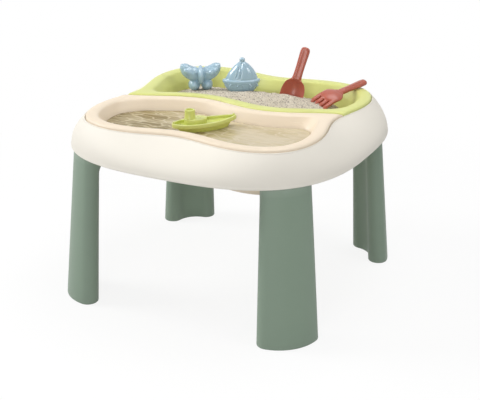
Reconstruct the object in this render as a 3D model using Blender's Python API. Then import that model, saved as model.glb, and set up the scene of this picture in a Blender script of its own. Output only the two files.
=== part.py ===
"""A child's sand and water table: a moulded top frame on four plugged-in legs, two lift-out
trays that meet along a wavy seam, their water and sand, and the loose toys in them.

Units are metres, +Z is up, the floor is z = 0 and the table's centre is x = y = 0. The front,
where the water tray is, faces -Y.
"""

import math

import bmesh
import bpy
from mathutils import Matrix, Vector

# ---------------------------------------------------------------- driving dimensions

GAP = 0.0003              # between pieces that rest on each other
RING_POINTS = 40          # points round the table's outline
ROD_SIDES = 10            # sides of a screw and its hole
BEAN_POINTS = 20          # points round a leg
OVAL_POINTS = 28          # points round the boat, its cabin and its funnel
SAIL_POINTS = 18          # points round the sailboat mould
SECTION_POINTS = 8        # points along each side of a tool's section
CUTTER_REACH = 0.1        # how far a cutter reaches past what it cuts

# Top frame
FRAME_HALF_X = 0.3436     # half width and half depth at its bottom edge
FRAME_HALF_Y = 0.3415
FRAME_SQUARENESS = 2.82   # exponent of that outline
FRAME_BOTTOM = 0.361      # height of its bottom edge above the floor
FRAME_HEIGHT = 0.069
FRAME_WALL = 0.0030
FRAME_SWELL = 2.10        # exponent of the wall's lean from the bottom edge to the rim
EDGE_ROUND = 0.0015       # rounding of thin moulded edges
UPSTAND = 0.0030          # thickness of the frame's rim round the trays
LEDGE_DROP = 0.0060       # the trays' ledge below the top of that rim
LEDGE_WIDTH = 0.0220
FLANGE_DEPTH = 0.0120     # stiffening flange at the ledge's inner edge

# Opening for the trays
FRAME_SHOULDER = 0.0548   # from the frame's narrower bottom half in to the trays' outline
RIM_SQUARENESS = 4.23     # four rounded lobes with a waist on each side
RIM_WAIST = 0.1037        # how far the waists draw in, as a share of the half width
TRAY_CLEARANCE = 0.0018   # between the trays' edge and the frame's rim

# Seam between the two trays
SEAM_SLOPE = 0.088
SEAM_WAVE = 0.0196
SEAM_LENGTH = 0.367
SEAM_GAP = 0.0012
JOG = 0.0030              # step of the seam where each tray keys into the other
JOG_START = 0.028
JOG_END = 0.172
JOG_RAMP = 0.008

# Trays
TRAY_WALL = 0.0030
TRAY_CROWN = 0.0062       # crown of the lip above the frame's rim
LIP_WIDTH = 0.0390        # from the tray's edge to its basin
BASIN_DEPTH = 0.1180      # from the crown to the basin's floor
BASIN_LEDGE = 0.0020      # from the lip's inner edge to the straight wall
BASIN_MOUTH = 0.0260      # drop of the straight wall's top below the crown
BASIN_DRAFT = 0.0060      # how far the basin's wall leans in on its way down
BASIN_FILLET = 0.0130
BASIN_CORNER = 0.0520     # plan radius of the basin's corners
EDGE_CORNER = 0.0040      # plan radius of the lip's corners at the seam
TRAY_CENTRE = (0.0, -0.125)
RAY_REACH = 0.45          # from there to past every edge of the tray
RAY_HALVINGS = 40
SEAM_STEPS = [0.0, 0.060, 0.085, 0.110, 0.135, 0.196, 0.220, 0.240]   # points along the seam

# The lip's section, as (inset from the tray's edge, drop below the crown)
LIP_SIDE = 0.0048
LIP_TOP = [(0.0, LIP_SIDE), (0.0030, 0.0014), (0.0120, 0.0), (0.0240, 0.0022),
           (0.0330, 0.0070), (LIP_WIDTH, 0.0150)]
LIP_UNDER = [(LIP_WIDTH - 0.0028, 0.0160), (0.0300, 0.0090), (0.0230, 0.0056),
             (0.0060, 0.0042), (TRAY_WALL, 0.0080)]

# Legs, measured at their tops
LEG_AT_X, LEG_AT_Y = 0.7372, 0.7225        # as shares of the frame's half sizes
LEG_TUCK = 0.0020         # of the leg inside the frame
LEG_CENTRE = 0.0765       # from the leg's place in to the centre of its bean
LEG_OUTER = 0.0962        # radius of the bean's outer side, a thicker leg grows inwards
LEG_HALF_ANGLE = 0.4900
LEG_THICK = 0.0394
LEG_LEAN_X, LEG_LEAN_Y = 0.0640, 0.0633    # outward lean for each metre down
LEG_ANGLE_TAPER = 0.4700  # growth of the half angle for each metre down
LEG_THIN = 0.0220         # growth of the thickness for each metre down
LEG_WALL = 0.0030
FOOT_ROUND = 0.0030
SPIGOT_CLEARANCE = 0.0004
SPIGOT_DEPTH = 0.0450     # of the frame's spigot inside the leg
SPIGOT_WALL = 0.0030
STOP_THICK = 0.0030       # shoulder above the leg's top edge

# Leg screws
SCREW_DROP = 0.0250       # below the leg's top
SCREW_SPREAD = 0.30       # angle from the middle of the bean to each screw
SCREW_RADIUS = 0.0020
SCREW_LENGTH = 0.0085
SCREW_HEAD_RADIUS = 0.0035
SCREW_HEAD = 0.0022
SCREW_CLEARANCE = 0.0003
SCREW_SEAT = 0.0005       # head to the leaning face of the leg
HOLE_START = 0.0030       # the hole's cutter starts this far outside the leg
HOLE_OVERRUN = 0.0020     # and ends this far past the spigot's wall

# Contents
WATER_DEPTH = 0.0270      # water level below the crown
SAND_DEPTH = 0.0310       # sand level below the crown, away from its mound
SAND_MOUND = 0.0205
SAND_MOUND_AT = (0.060, 0.115)
SAND_MOUND_SPREAD = (0.118, 0.052)
SAND_DIP = 0.0300         # the sand falls away towards the right-hand end
SAND_DIP_FROM, SAND_DIP_TO = 0.165, 0.235
FILL_GAP = 0.0010         # contents to the tray
POCKET = 0.0006           # contents to what stands or floats in them
POCKET_RISE = 0.05        # a pocket reaches this far above what it is measured from
SAND_RINGS = (0.10, 0.30, 0.50, 0.70, 0.86)   # loops of the sand's surface, as shares

# Toy boat
BOAT_LENGTH, BOAT_BEAM = 0.152, 0.064
BOAT_AT = (-0.006, -0.126)
BOAT_HEADING = math.radians(47.6)
BOAT_DRAUGHT = 0.0130     # below the water
BOAT_FREEBOARD = 0.0200   # gunwale above the water
BOAT_WALL = 0.0022
BOAT_GUNWALE = 0.0050     # width of the gunwale's top
BOAT_DECK_DROP = 0.0065   # deck below the gunwale
BOAT_SHEER = 0.0050       # rise of the bow
DECK_SEAT = 0.90          # inner edge of the ledge under the deck, as a share of its outline
HULL_LOW = [(0.52, 0.0, 0.0), (0.66, 0.003, 0.0), (0.80, 0.014, 0.3)]   # share, rise, sheer
HULL_HIGH = [(0.90, 0.009, 0.8), (1.0, 0.008, 1.0)]     # share, drop below the gunwale, sheer
HOLD = [(0.84, 0.016, 0.8), (0.68, 0.023, 0.2)]         # inside of the hull, below the gunwale
HOLD_FLOOR = 0.50
BOW_FINENESS = 0.45       # how much the beam narrows towards the bow
CABIN_ROUND = 0.0020
CABIN_AT, CABIN_HALF = -0.021, (0.0250, 0.0180)
CABIN_HEIGHT = 0.0150
FUNNEL_AT, FUNNEL_RADIUS, FUNNEL_HEIGHT = -0.034, 0.0120, 0.0200

# Sand moulds
MOULD_WALL = 0.0020
MOULD_BACK = 0.0007       # the open back lies this far behind the middle plane
BUTTERFLY_AT, BUTTERFLY_TURN = (-0.168, 0.154), math.radians(33)
BUTTERFLY_WING = (0.0290, 0.0230, 0.0175)
BUTTERFLY_WING_AT = (0.0255, 0.0465)
BUTTERFLY_WING_TILT = math.radians(33)
BUTTERFLY_LOBE = (0.0155, 0.0210, 0.0160)
BUTTERFLY_LOBE_AT = (0.0160, 0.0160)
BUTTERFLY_BODY = (0.0060, 0.0265, 0.0260)
BUTTERFLY_BODY_AT = 0.0380
SAILBOAT_AT, SAILBOAT_TURN = (-0.066, 0.179), math.radians(28)
SAILBOAT_HALF, SAILBOAT_DEPTH, SAILBOAT_HEIGHT = 0.0470, 0.0270, 0.0900
# Its level sections: height, width, depth and shift, as shares of those sizes
SAILBOAT_ROWS = [(0.00, 0.46, 0.55, 0.00), (0.05, 0.62, 0.70, 0.00), (0.18, 0.86, 0.88, 0.00),
                 (0.31, 0.95, 0.94, 0.00), (0.32, 1.00, 1.00, 0.00), (0.39, 1.00, 1.00, 0.00),
                 (0.41, 0.84, 0.88, 0.02), (0.56, 0.72, 0.82, 0.04), (0.70, 0.54, 0.68, 0.06),
                 (0.82, 0.30, 0.46, 0.05), (0.88, 0.14, 0.27, 0.02), (0.93, 0.15, 0.26, 0.02),
                 (1.00, 0.06, 0.10, 0.02)]
SAILBOAT_SOLID = 0.85     # the mould is solid above this share of its height

# Shovel
SHOVEL_AT = (0.0810, 0.1560)
SHOVEL_ENTRY = 0.0142     # drop below the crown of that point, where the blade enters
SHOVEL_LEAN = math.radians(14)
SHOVEL_ROLL = math.radians(16)
SHOVEL_TURN = math.radians(22)
SHOVEL_BLADE, SHOVEL_WIDTH, SHOVEL_SCOOP = 0.0690, 0.0570, 0.0130
SHOVEL_BURIED = 0.0300
SHOVEL_HANDLE, SHOVEL_GRIP, SHOVEL_GRIP_THICK = 0.0825, 0.0200, 0.0130
SHOVEL_GRIP_SHIFT = 0.35  # of the grip behind the blade's edges, as a share of its thickness
# Sections of the blade (down, width, scoop) and the grip (up, width, thickness), as shares
BLADE_ROWS = [(1.00, 0.66, 0.45), (0.97, 0.78, 0.60), (0.80, 0.96, 0.90), (0.50, 1.00, 1.00),
              (0.22, 0.94, 0.95), (0.08, 0.76, 0.70), (0.02, 0.56, 0.45)]
GRIP_ROWS = [(0.06, 1.05, 0.75), (0.20, 0.90, 0.90), (0.60, 0.92, 1.00), (0.88, 1.00, 1.00),
             (0.96, 0.80, 0.80), (1.00, 0.40, 0.40)]
GRIP_EDGE = 0.0006        # thickness of the grip's side edges
TOOL_WALL = 0.0026

# Rake
RAKE_AT = (0.161, 0.128)  # the tips of its tines
RAKE_TIP_DROP = 0.0197    # below the crown
RAKE_HEADING = math.radians(64.7)
RAKE_PITCH = math.radians(8.1)
RAKE_ROLL = math.radians(14)
RAKE_HANDLE, RAKE_GRIP, RAKE_GRIP_THICK = 0.0880, 0.0170, 0.0110
RAKE_HEAD, RAKE_WIDTH, RAKE_THICK = 0.0280, 0.0480, 0.0050
RAKE_TINES, RAKE_TINE, RAKE_TINE_LENGTH = 4, 0.0075, 0.0420
RAKE_TINE_POINT = 0.0030  # height of a tine's rounded point
RAKE_CURL = 0.0100        # how far the tines curve down
RAKE_CURL_POWER = 1.6
RAKE_NECK = 0.90          # width of the handle's middle, as a share of its end
RAKE_SHOULDERS = [(0.62, 0.004), (0.90, 0.012)]   # share of the head's half width, drop

FRAME_TOP = FRAME_BOTTOM + FRAME_HEIGHT
RIM_HALF = min(FRAME_HALF_X, FRAME_HALF_Y) - FRAME_SHOULDER
LEG_TOP = FRAME_BOTTOM + LEG_TUCK
LEG_RADIUS = LEG_OUTER - LEG_THICK / 2
CROWN = FRAME_TOP + TRAY_CROWN
LEDGE = FRAME_TOP - LEDGE_DROP
FLOOR = CROWN - BASIN_DEPTH
WATER = CROWN - WATER_DEPTH
SAND = CROWN - SAND_DEPTH


# ---------------------------------------------------------------- mesh helpers

def clear_scene():
    for obj in list(bpy.data.objects):
        bpy.data.objects.remove(obj, do_unlink=True)


def material(name, color, roughness, metallic=0.0):
    made = bpy.data.materials.new(name)
    made.use_nodes = True
    shader = made.node_tree.nodes["Principled BSDF"]
    shader.inputs["Base Color"].default_value = (*color, 1.0)
    shader.inputs["Roughness"].default_value = roughness
    shader.inputs["Metallic"].default_value = metallic
    return made


def finish(name, bm, finish_material, helper=False):
    """Turns a bmesh into an object; a helper is only used to cut another object."""
    bmesh.ops.recalc_face_normals(bm, faces=bm.faces)
    mesh = bpy.data.meshes.new(name)
    bm.to_mesh(mesh)
    bm.free()
    obj = bpy.data.objects.new(name, mesh)
    bpy.context.scene.collection.objects.link(obj)
    if helper:
        obj.hide_render = True
        obj.display_type = "WIRE"
        return obj
    mesh.materials.append(finish_material)
    mesh.shade_smooth()
    mesh.set_sharp_from_angle(angle=math.radians(35))
    return obj


def loft(loops, ring=False):
    """Skins loops that have the same number of points. A ring joins the last loop to the
    first; otherwise both end loops are capped."""
    bm = bmesh.new()
    rows = [[bm.verts.new(point) for point in loop] for loop in loops]
    count = len(rows[0])
    pairs = list(zip(rows, rows[1:] + rows[:1])) if ring else list(zip(rows, rows[1:]))
    for low, high in pairs:
        for i in range(count):
            j = (i + 1) % count
            bm.faces.new((low[i], low[j], high[j]))
            bm.faces.new((low[i], high[j], high[i]))
    if not ring:
        bm.faces.new(rows[0])
        bm.faces.new(rows[-1])
    return bm


def boolean(obj, cutter, operation="DIFFERENCE"):
    modifier = obj.modifiers.new(cutter.name, "BOOLEAN")
    modifier.operation = operation
    modifier.solver = "EXACT"
    modifier.object = cutter


def ellipsoid(centre, radii, tilt=0.0, segments=12, rings=8):
    bm = bmesh.new()
    bmesh.ops.create_uvsphere(bm, u_segments=segments, v_segments=rings, radius=1.0)
    place = Matrix.Translation(centre) @ Matrix.Rotation(tilt, 4, "Y")
    place = place @ Matrix.Diagonal((*radii, 1.0))
    bmesh.ops.transform(bm, matrix=place, verts=bm.verts)
    return bm


def box(low, high):
    bm = bmesh.new()
    bmesh.ops.create_cube(bm, size=1.0)
    middle = (Vector(low) + Vector(high)) / 2
    size = Vector(high) - Vector(low)
    place = Matrix.Translation(middle) @ Matrix.Diagonal((*size, 1.0))
    bmesh.ops.transform(bm, matrix=place, verts=bm.verts)
    return bm


# ---------------------------------------------------------------- outlines

def frame_radius(angle):
    """Distance from the centre to the frame's bottom outline."""
    n = FRAME_SQUARENESS
    across = abs(math.cos(angle) / FRAME_HALF_X) ** n
    along = abs(math.sin(angle) / FRAME_HALF_Y) ** n
    return (across + along) ** (-1 / n)


def rim_radius(angle):
    """Distance from the centre to the trays' outline."""
    n = RIM_SQUARENESS
    square = (abs(math.cos(angle)) ** n + abs(math.sin(angle)) ** n) ** (-1 / n)
    waist = RIM_WAIST * (0.5 + 0.5 * math.cos(4 * angle)) ** 2
    return RIM_HALF * square * (1 - waist)


def rim_lean(angle, step=1e-4):
    """Cosine of the angle between the outline's normal and the radius."""
    slope = (rim_radius(angle + step) - rim_radius(angle - step)) / (2 * step)
    return 1 / math.hypot(1, slope / rim_radius(angle))


def seam_y(x):
    return SEAM_SLOPE * x - SEAM_WAVE * math.sin(2 * math.pi * x / SEAM_LENGTH)


def seam_jog(x):
    """Each tray keys into the other: the seam steps back on one half, forward on the other."""
    rise = (abs(x) - JOG_START) / JOG_RAMP
    fall = (JOG_END - abs(x)) / JOG_RAMP
    return -math.copysign(JOG, x) * max(0.0, min(1.0, rise, fall))


def seam_lean(x, step=1e-4):
    return 1 / math.hypot(1, (seam_y(x + step) - seam_y(x - step)) / (2 * step))


def rounded_both(a, b, radius):
    """Depth inside two edges at once, with their corner rounded off."""
    over = math.hypot(max(radius - a, 0.0), max(radius - b, 0.0))
    return -(min(-radius, max(-a, -b)) + over)


def tray_depth(x, y, inset, corner, keyed):
    """How far a point of the front tray lies inside the tray's outline drawn in by inset."""
    angle = math.atan2(y, x)
    outer = (rim_radius(angle) - math.hypot(x, y)) * rim_lean(angle) - inset
    seam = seam_y(x) + (seam_jog(x) if keyed else 0.0) - y
    return rounded_both(outer, seam * seam_lean(x) - inset - SEAM_GAP / 2, corner)


def tray_rays():
    """Directions from the tray's centre to the points that its outline needs."""
    steps = [JOG_START, JOG_START + JOG_RAMP, JOG_END - JOG_RAMP, JOG_END]
    xs = sorted({sign * x for x in steps + SEAM_STEPS for sign in (-1, 1)})
    points = [(x, seam_y(x) + seam_jog(x)) for x in xs]
    for i in range(RING_POINTS):
        angle = 2 * math.pi * i / RING_POINTS
        point = (rim_radius(angle) * math.cos(angle), rim_radius(angle) * math.sin(angle))
        if point[1] < seam_y(point[0]) - EDGE_CORNER:
            points.append(point)
    centre = Vector(TRAY_CENTRE)
    aims = [(Vector(point) - centre).normalized() for point in points]
    return sorted(aims, key=lambda aim: math.atan2(aim.y, aim.x))


def tray_loop(inset, z, corner=BASIN_CORNER, keyed=False):
    """The tray's outline drawn in by inset, found along each ray by halving."""
    loop = []
    for aim in RAYS:
        near, far = 0.0, RAY_REACH
        for _ in range(RAY_HALVINGS):
            middle = (near + far) / 2
            x, y = TRAY_CENTRE[0] + middle * aim.x, TRAY_CENTRE[1] + middle * aim.y
            if tray_depth(x, y, inset, corner, keyed) > 0:
                near = middle
            else:
                far = middle
        loop.append((TRAY_CENTRE[0] + near * aim.x, TRAY_CENTRE[1] + near * aim.y, z))
    return loop


def turned(loop):
    """The same loop, half a turn round the table's centre: the back tray's."""
    return [(-x, -y, z) for x, y, z in loop]


# ---------------------------------------------------------------- legs and frame

def leg_middle(z):
    """The middle of the back right leg at height z."""
    down = LEG_TOP - z
    return (LEG_AT_X * FRAME_HALF_X + LEG_LEAN_X * down,
            LEG_AT_Y * FRAME_HALF_Y + LEG_LEAN_Y * down)


def bean(corner, z, inset, points=BEAN_POINTS):
    """A leg's outline at height z, drawn in by inset, for the corner (+-1, +-1)."""
    x, y = leg_middle(z)
    half = LEG_HALF_ANGLE + LEG_ANGLE_TAPER * (LEG_TOP - z)
    thick = (LEG_THICK + LEG_THIN * (LEG_TOP - z)) / 2 - inset
    middle = math.pi / 4
    centre = (x - LEG_CENTRE * math.cos(middle), y - LEG_CENTRE * math.sin(middle))
    arc, cap = points * 3 // 10, points // 5
    polar = []
    for i in range(arc + 1):
        polar.append((LEG_RADIUS + thick, middle - half + 2 * half * i / arc))
    loop = [(r * math.cos(a), r * math.sin(a)) for r, a in polar]
    for i in range(1, cap):
        turn = middle + half + math.pi * i / cap
        loop.append((LEG_RADIUS * math.cos(middle + half) + thick * math.cos(turn),
                     LEG_RADIUS * math.sin(middle + half) + thick * math.sin(turn)))
    for i in range(arc + 1):
        a = middle + half - 2 * half * i / arc
        r = LEG_RADIUS - thick
        loop.append((r * math.cos(a), r * math.sin(a)))
    for i in range(1, cap):
        turn = middle - half - math.pi + math.pi * i / cap
        loop.append((LEG_RADIUS * math.cos(middle - half) + thick * math.cos(turn),
                     LEG_RADIUS * math.sin(middle - half) + thick * math.sin(turn)))
    return [(corner[0] * (px + centre[0]), corner[1] * (py + centre[1]), z) for px, py in loop]


def leg_axis(corner, spread, z):
    """A point on the concave face of a leg, and the direction that goes into the wall."""
    x, y = leg_middle(z)
    thick = (LEG_THICK + LEG_THIN * (LEG_TOP - z)) / 2
    angle = math.pi / 4 + spread
    aim = Vector((math.cos(angle), math.sin(angle), 0.0))
    centre = Vector((x, y, z)) - LEG_CENTRE * Vector((math.sqrt(0.5), math.sqrt(0.5), 0.0))
    face = centre + aim * (LEG_RADIUS - thick)
    flip = Vector((corner[0], corner[1], 1.0))
    return face * flip, aim * flip


def rod(start, aim, sections):
    """A turned piece along aim: (distance along, radius) for each section."""
    across = Vector((0.0, 0.0, 1.0))
    side = aim.cross(across).normalized()
    loops = []
    for along, radius in sections:
        centre = start + aim * along
        loop = []
        for i in range(ROD_SIDES):
            a = 2 * math.pi * i / ROD_SIDES
            loop.append(centre + radius * (math.cos(a) * side + math.sin(a) * across))
        loops.append(loop)
    return loft(loops)


def make_leg(name, corner):
    loops = [bean(corner, 0.0, FOOT_ROUND), bean(corner, FOOT_ROUND, 0.0)]
    loops += [bean(corner, LEG_TOP * share, 0.0) for share in (1 / 3, 2 / 3, 1)]
    loops += [bean(corner, z, LEG_WALL)
              for z in (LEG_TOP, LEG_TOP / 2, LEG_WALL + FOOT_ROUND)]
    leg = finish(name, loft(loops), SAGE)
    for spread in (-SCREW_SPREAD, SCREW_SPREAD):
        hole = screw_hole(f"{name}_hole", corner, spread)
        boolean(leg, hole)
    return leg


def screw_hole(name, corner, spread):
    face, aim = leg_axis(corner, spread, LEG_TOP - SCREW_DROP)
    reach = LEG_WALL + SPIGOT_WALL + SPIGOT_CLEARANCE + HOLE_OVERRUN
    radius = SCREW_RADIUS + SCREW_CLEARANCE
    hole = rod(face, aim, [(-HOLE_START, radius), (reach, radius)])
    return finish(name, hole, None, helper=True)


def make_screw(name, corner, spread):
    face, aim = leg_axis(corner, spread, LEG_TOP - SCREW_DROP)
    top = -SCREW_SEAT - SCREW_HEAD
    sections = [(top, SCREW_HEAD_RADIUS * 0.7), (top + SCREW_HEAD / 3, SCREW_HEAD_RADIUS),
                (-SCREW_SEAT, SCREW_HEAD_RADIUS), (-SCREW_SEAT, SCREW_RADIUS),
                (SCREW_LENGTH - SCREW_RADIUS, SCREW_RADIUS),
                (SCREW_LENGTH, SCREW_RADIUS / 3)]
    return finish(name, rod(face, aim, sections), STEEL)


def frame_loop(lean, z, inset=0.0):
    """A level loop of the frame's wall: lean 0 is its bottom outline, 1 its rim."""
    loop = []
    for i in range(RING_POINTS):
        angle = 2 * math.pi * i / RING_POINTS
        low = frame_radius(angle)
        high = rim_radius(angle) + TRAY_CLEARANCE + UPSTAND
        radius = low + (high - low) * lean - inset
        loop.append((radius * math.cos(angle), radius * math.sin(angle), z))
    return loop


def rim_loop(outset, z):
    loop = []
    for i in range(RING_POINTS):
        angle = 2 * math.pi * i / RING_POINTS
        radius = rim_radius(angle) + outset
        loop.append((radius * math.cos(angle), radius * math.sin(angle), z))
    return loop


def swell(share):
    return share ** FRAME_SWELL


def ceiling(x, y):
    """Height inside the frame's wall, halfway through it, above a point of a spigot."""
    angle = math.atan2(y, x)
    low = frame_radius(angle) - FRAME_WALL
    high = rim_radius(angle) + TRAY_CLEARANCE + UPSTAND - FRAME_WALL
    lean = (low - math.hypot(x, y)) / (low - high)
    share = max(0.0, min(1.0, lean)) ** (1 / FRAME_SWELL)
    top = LEDGE - FRAME_WALL
    return FRAME_BOTTOM + (top - FRAME_BOTTOM) * share + FRAME_WALL / 2


def spigot_loops(corner):
    """The frame's spigot: a bean-shaped tube in the leg's top, with a shoulder over its edge."""
    outside = LEG_WALL + SPIGOT_CLEARANCE
    inside = outside + SPIGOT_WALL
    shoulder = LEG_TOP + GAP
    low = LEG_TOP - SPIGOT_DEPTH
    rows = [bean(corner, low, outside), bean(corner, shoulder, outside),
            bean(corner, shoulder, 2 * GAP), bean(corner, shoulder + STOP_THICK, 2 * GAP),
            bean(corner, shoulder + STOP_THICK, outside)]
    top = [(x, y, ceiling(x, y)) for x, y, _ in bean(corner, shoulder + STOP_THICK, outside)]
    under = [(x, y, ceiling(x, y)) for x, y, _ in bean(corner, shoulder + STOP_THICK, inside)]
    return rows + [top, under, bean(corner, low, inside)]


def make_frame():
    shares = (0.20, 0.40, 0.60, 0.80)
    rise = FRAME_TOP - EDGE_ROUND - FRAME_BOTTOM
    inner_rise = LEDGE - FRAME_WALL - FRAME_BOTTOM
    loops = [frame_loop(0.0, FRAME_BOTTOM, EDGE_ROUND), frame_loop(0.0, FRAME_BOTTOM + EDGE_ROUND)]
    loops += [frame_loop(swell(t), FRAME_BOTTOM + rise * t) for t in shares]
    loops += [frame_loop(1.0, FRAME_TOP - EDGE_ROUND),
              frame_loop(1.0, FRAME_TOP, EDGE_ROUND / 2),
              rim_loop(TRAY_CLEARANCE + EDGE_ROUND / 2, FRAME_TOP),
              rim_loop(TRAY_CLEARANCE, FRAME_TOP - EDGE_ROUND),
              rim_loop(TRAY_CLEARANCE, LEDGE),
              rim_loop(-LEDGE_WIDTH, LEDGE),
              rim_loop(-LEDGE_WIDTH, LEDGE - FLANGE_DEPTH),
              rim_loop(-LEDGE_WIDTH + FRAME_WALL, LEDGE - FLANGE_DEPTH),
              rim_loop(-LEDGE_WIDTH + FRAME_WALL, LEDGE - FRAME_WALL)]
    loops += [frame_loop(1.0, LEDGE - FRAME_WALL, FRAME_WALL)]
    loops += [frame_loop(swell(t), FRAME_BOTTOM + inner_rise * t, FRAME_WALL)
              for t in reversed(shares)]
    loops += [frame_loop(0.0, FRAME_BOTTOM, FRAME_WALL)]
    frame = finish("top_frame", loft(loops, ring=True), CREAM)
    for name, corner in CORNERS.items():
        spigot = finish(f"spigot_{name}", loft(spigot_loops(corner), ring=True), None, helper=True)
        boolean(frame, spigot, "UNION")
        for spread in (-SCREW_SPREAD, SCREW_SPREAD):
            boolean(frame, screw_hole(f"spigot_hole_{name}", corner, spread))
    return frame


# ---------------------------------------------------------------- trays and contents

def basin_profile(offset=0.0):
    """The basin's inner face as (inset, height) from its mouth down, moved in by offset."""
    fillet_top = FLOOR + BASIN_FILLET
    high = LIP_WIDTH + BASIN_LEDGE
    low = high + BASIN_DRAFT
    rows = [(high, CROWN - BASIN_MOUTH), (low, fillet_top)]
    for part in (0.5, 1.0):
        a = math.pi / 2 * part
        rows.append((low + BASIN_FILLET * (1 - math.cos(a)),
                     fillet_top - BASIN_FILLET * math.sin(a)))
    tilt = (0.0, 0.0, 0.7, 1.0)
    return [(w + offset, z + offset * up) for (w, z), up in zip(rows, tilt)]


def lip_corner(inset):
    """Plan radius of the tray's corners, sharp at its edge and wide at the basin."""
    return EDGE_CORNER + (BASIN_CORNER - EDGE_CORNER) * min(1.0, inset / LIP_WIDTH)


def tray_loops():
    skirt = LEDGE + GAP
    top = [(0.0, skirt)] + [(inset, CROWN - drop) for inset, drop in LIP_TOP]
    under = [(inset, CROWN - drop) for inset, drop in LIP_UNDER] + [(TRAY_WALL, skirt)]
    rows = top + basin_profile() + basin_profile(-TRAY_WALL)[::-1] + under
    loops = []
    for inset, z in rows:
        keyed = inset < LIP_WIDTH / 2
        loops.append(tray_loop(inset, z, lip_corner(inset), keyed))
    return loops


def split_floor(loops):
    """The tray's loops as one run: floor underside, wall, under and over the lip, floor."""
    outside = 1 + len(LIP_TOP) + len(basin_profile())
    return loops[outside:] + loops[:outside]


def make_tray(name, colour, turn=False):
    loops = split_floor(tray_loops())
    if turn:
        loops = [turned(loop) for loop in loops]
    return finish(name, loft(loops), colour)


def fill_wall(height):
    """Loops down the basin's wall to its floor; height(x, y) is the level of what fills it."""
    loops = [tray_loop(inset, z) for inset, z in basin_profile(FILL_GAP)]
    edge = []
    for high, low in zip(loops[0], loops[1]):
        share = (height(high[0], high[1]) - low[2]) / (high[2] - low[2])
        edge.append(tuple(Vector(low).lerp(Vector(high), share)))
    return [edge] + loops[1:]


def make_water():
    water = finish("water_fill", loft(fill_wall(lambda x, y: WATER)), WATER_LOOK)
    hull = loft(hull_loops(POCKET, above=POCKET_RISE))
    pocket = finish("hull_pocket", hull, None, helper=True)
    place_boat(pocket)
    boolean(water, pocket)
    return water


def sand_height(x, y):
    """Height of the sand's surface: a mound in the middle and a fall to the right-hand end."""
    dx = (x - SAND_MOUND_AT[0]) / SAND_MOUND_SPREAD[0]
    dy = (y - SAND_MOUND_AT[1]) / SAND_MOUND_SPREAD[1]
    mound = SAND_MOUND * math.exp(-(dx * dx + dy * dy) / 2)
    share = max(0.0, min(1.0, (x - SAND_DIP_FROM) / (SAND_DIP_TO - SAND_DIP_FROM)))
    return SAND + mound - SAND_DIP * share * share * (3 - 2 * share)


def make_sand():
    walls = [turned(loop) for loop in fill_wall(lambda x, y: sand_height(-x, -y))]
    centre = (-TRAY_CENTRE[0], -TRAY_CENTRE[1])
    loops = []
    for share in SAND_RINGS:
        ring = []
        for x, y, _ in walls[0]:
            px = centre[0] + (x - centre[0]) * share
            py = centre[1] + (y - centre[1]) * share
            ring.append((px, py, sand_height(px, py)))
        loops.append(ring)
    loops += walls
    sand = finish("sand_fill", loft(loops), SAND_LOOK)
    for name, place, low, high in sand_pockets():
        pocket = finish(name, box(low, high), None, helper=True)
        pocket.matrix_world = place
        boolean(sand, pocket)
    return sand


def sand_pockets():
    """Boxes cleared in the sand for what stands in it, each in its own piece's frame."""
    wing = BUTTERFLY_LOBE_AT[0] + BUTTERFLY_LOBE[0] + POCKET
    back = MOULD_BACK + POCKET
    yield ("butterfly_pocket", BUTTERFLY_PLACE, (-wing, -BUTTERFLY_LOBE[1] - POCKET, -POCKET),
           (wing, back, POCKET_RISE))
    yield ("sailboat_pocket", SAILBOAT_PLACE,
           (-SAILBOAT_HALF - POCKET, -SAILBOAT_DEPTH - POCKET, -POCKET),
           (SAILBOAT_HALF + POCKET, back, POCKET_RISE))
    half = SHOVEL_WIDTH / 2 + POCKET
    yield ("shovel_pocket", SHOVEL_PLACE, (-half, -TOOL_WALL, -SHOVEL_BLADE - POCKET),
           (half, SHOVEL_SCOOP + TOOL_WALL, POCKET_RISE))
    tines = RAKE_WIDTH / 2 + POCKET
    yield ("rake_pocket", RAKE_PLACE,
           (-tines, -POCKET_RISE, -RAKE_THICK),
           (tines, RAKE_CURL + RAKE_THICK / 2 + POCKET, RAKE_HEAD + RAKE_TINE_LENGTH))


# ---------------------------------------------------------------- toy boat

def boat_outline(grow, points=OVAL_POINTS):
    """The gunwale's outline, pointed at the bow (+X), grown by a distance."""
    loop = []
    for i in range(points):
        a = 2 * math.pi * i / points
        fine = ((1 + math.cos(a)) / 2) ** 2
        x = (BOAT_LENGTH / 2 + grow) * math.cos(a)
        y = (BOAT_BEAM / 2 + grow) * math.sin(a) * (1 - BOW_FINENESS * fine)
        loop.append((x, y))
    return loop


def boat_loop(share, z, grow=0.0, sheer=1.0):
    """The outline at a share of its size, raised towards the bow."""
    loop = []
    for x, y in boat_outline(grow):
        rise = sheer * BOAT_SHEER * (max(0.0, x) / (BOAT_LENGTH / 2)) ** 2
        loop.append((x * share, y * share, z + rise))
    return loop


def hull_loops(grow=0.0, above=0.0):
    """The hull's outside from its flat bottom to its gunwale, or to a height above it."""
    keel = WATER - BOAT_DRAUGHT
    gunwale = WATER + BOAT_FREEBOARD
    rows = [(share, keel + rise - grow, sheer) for share, rise, sheer in HULL_LOW]
    sides = [(share, gunwale - drop, sheer) for share, drop, sheer in HULL_HIGH]
    if above:
        rows += [sides[0], (1.0, gunwale + above, 0.0)]
    else:
        rows += sides + [(1.0, gunwale, 1.0)]
    return [boat_loop(share, z, grow, sheer) for share, z, sheer in rows]


def place_boat(obj):
    turn = Matrix.Rotation(BOAT_HEADING, 4, "Z")
    obj.matrix_world = Matrix.Translation((BOAT_AT[0], BOAT_AT[1], 0.0)) @ turn


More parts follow.
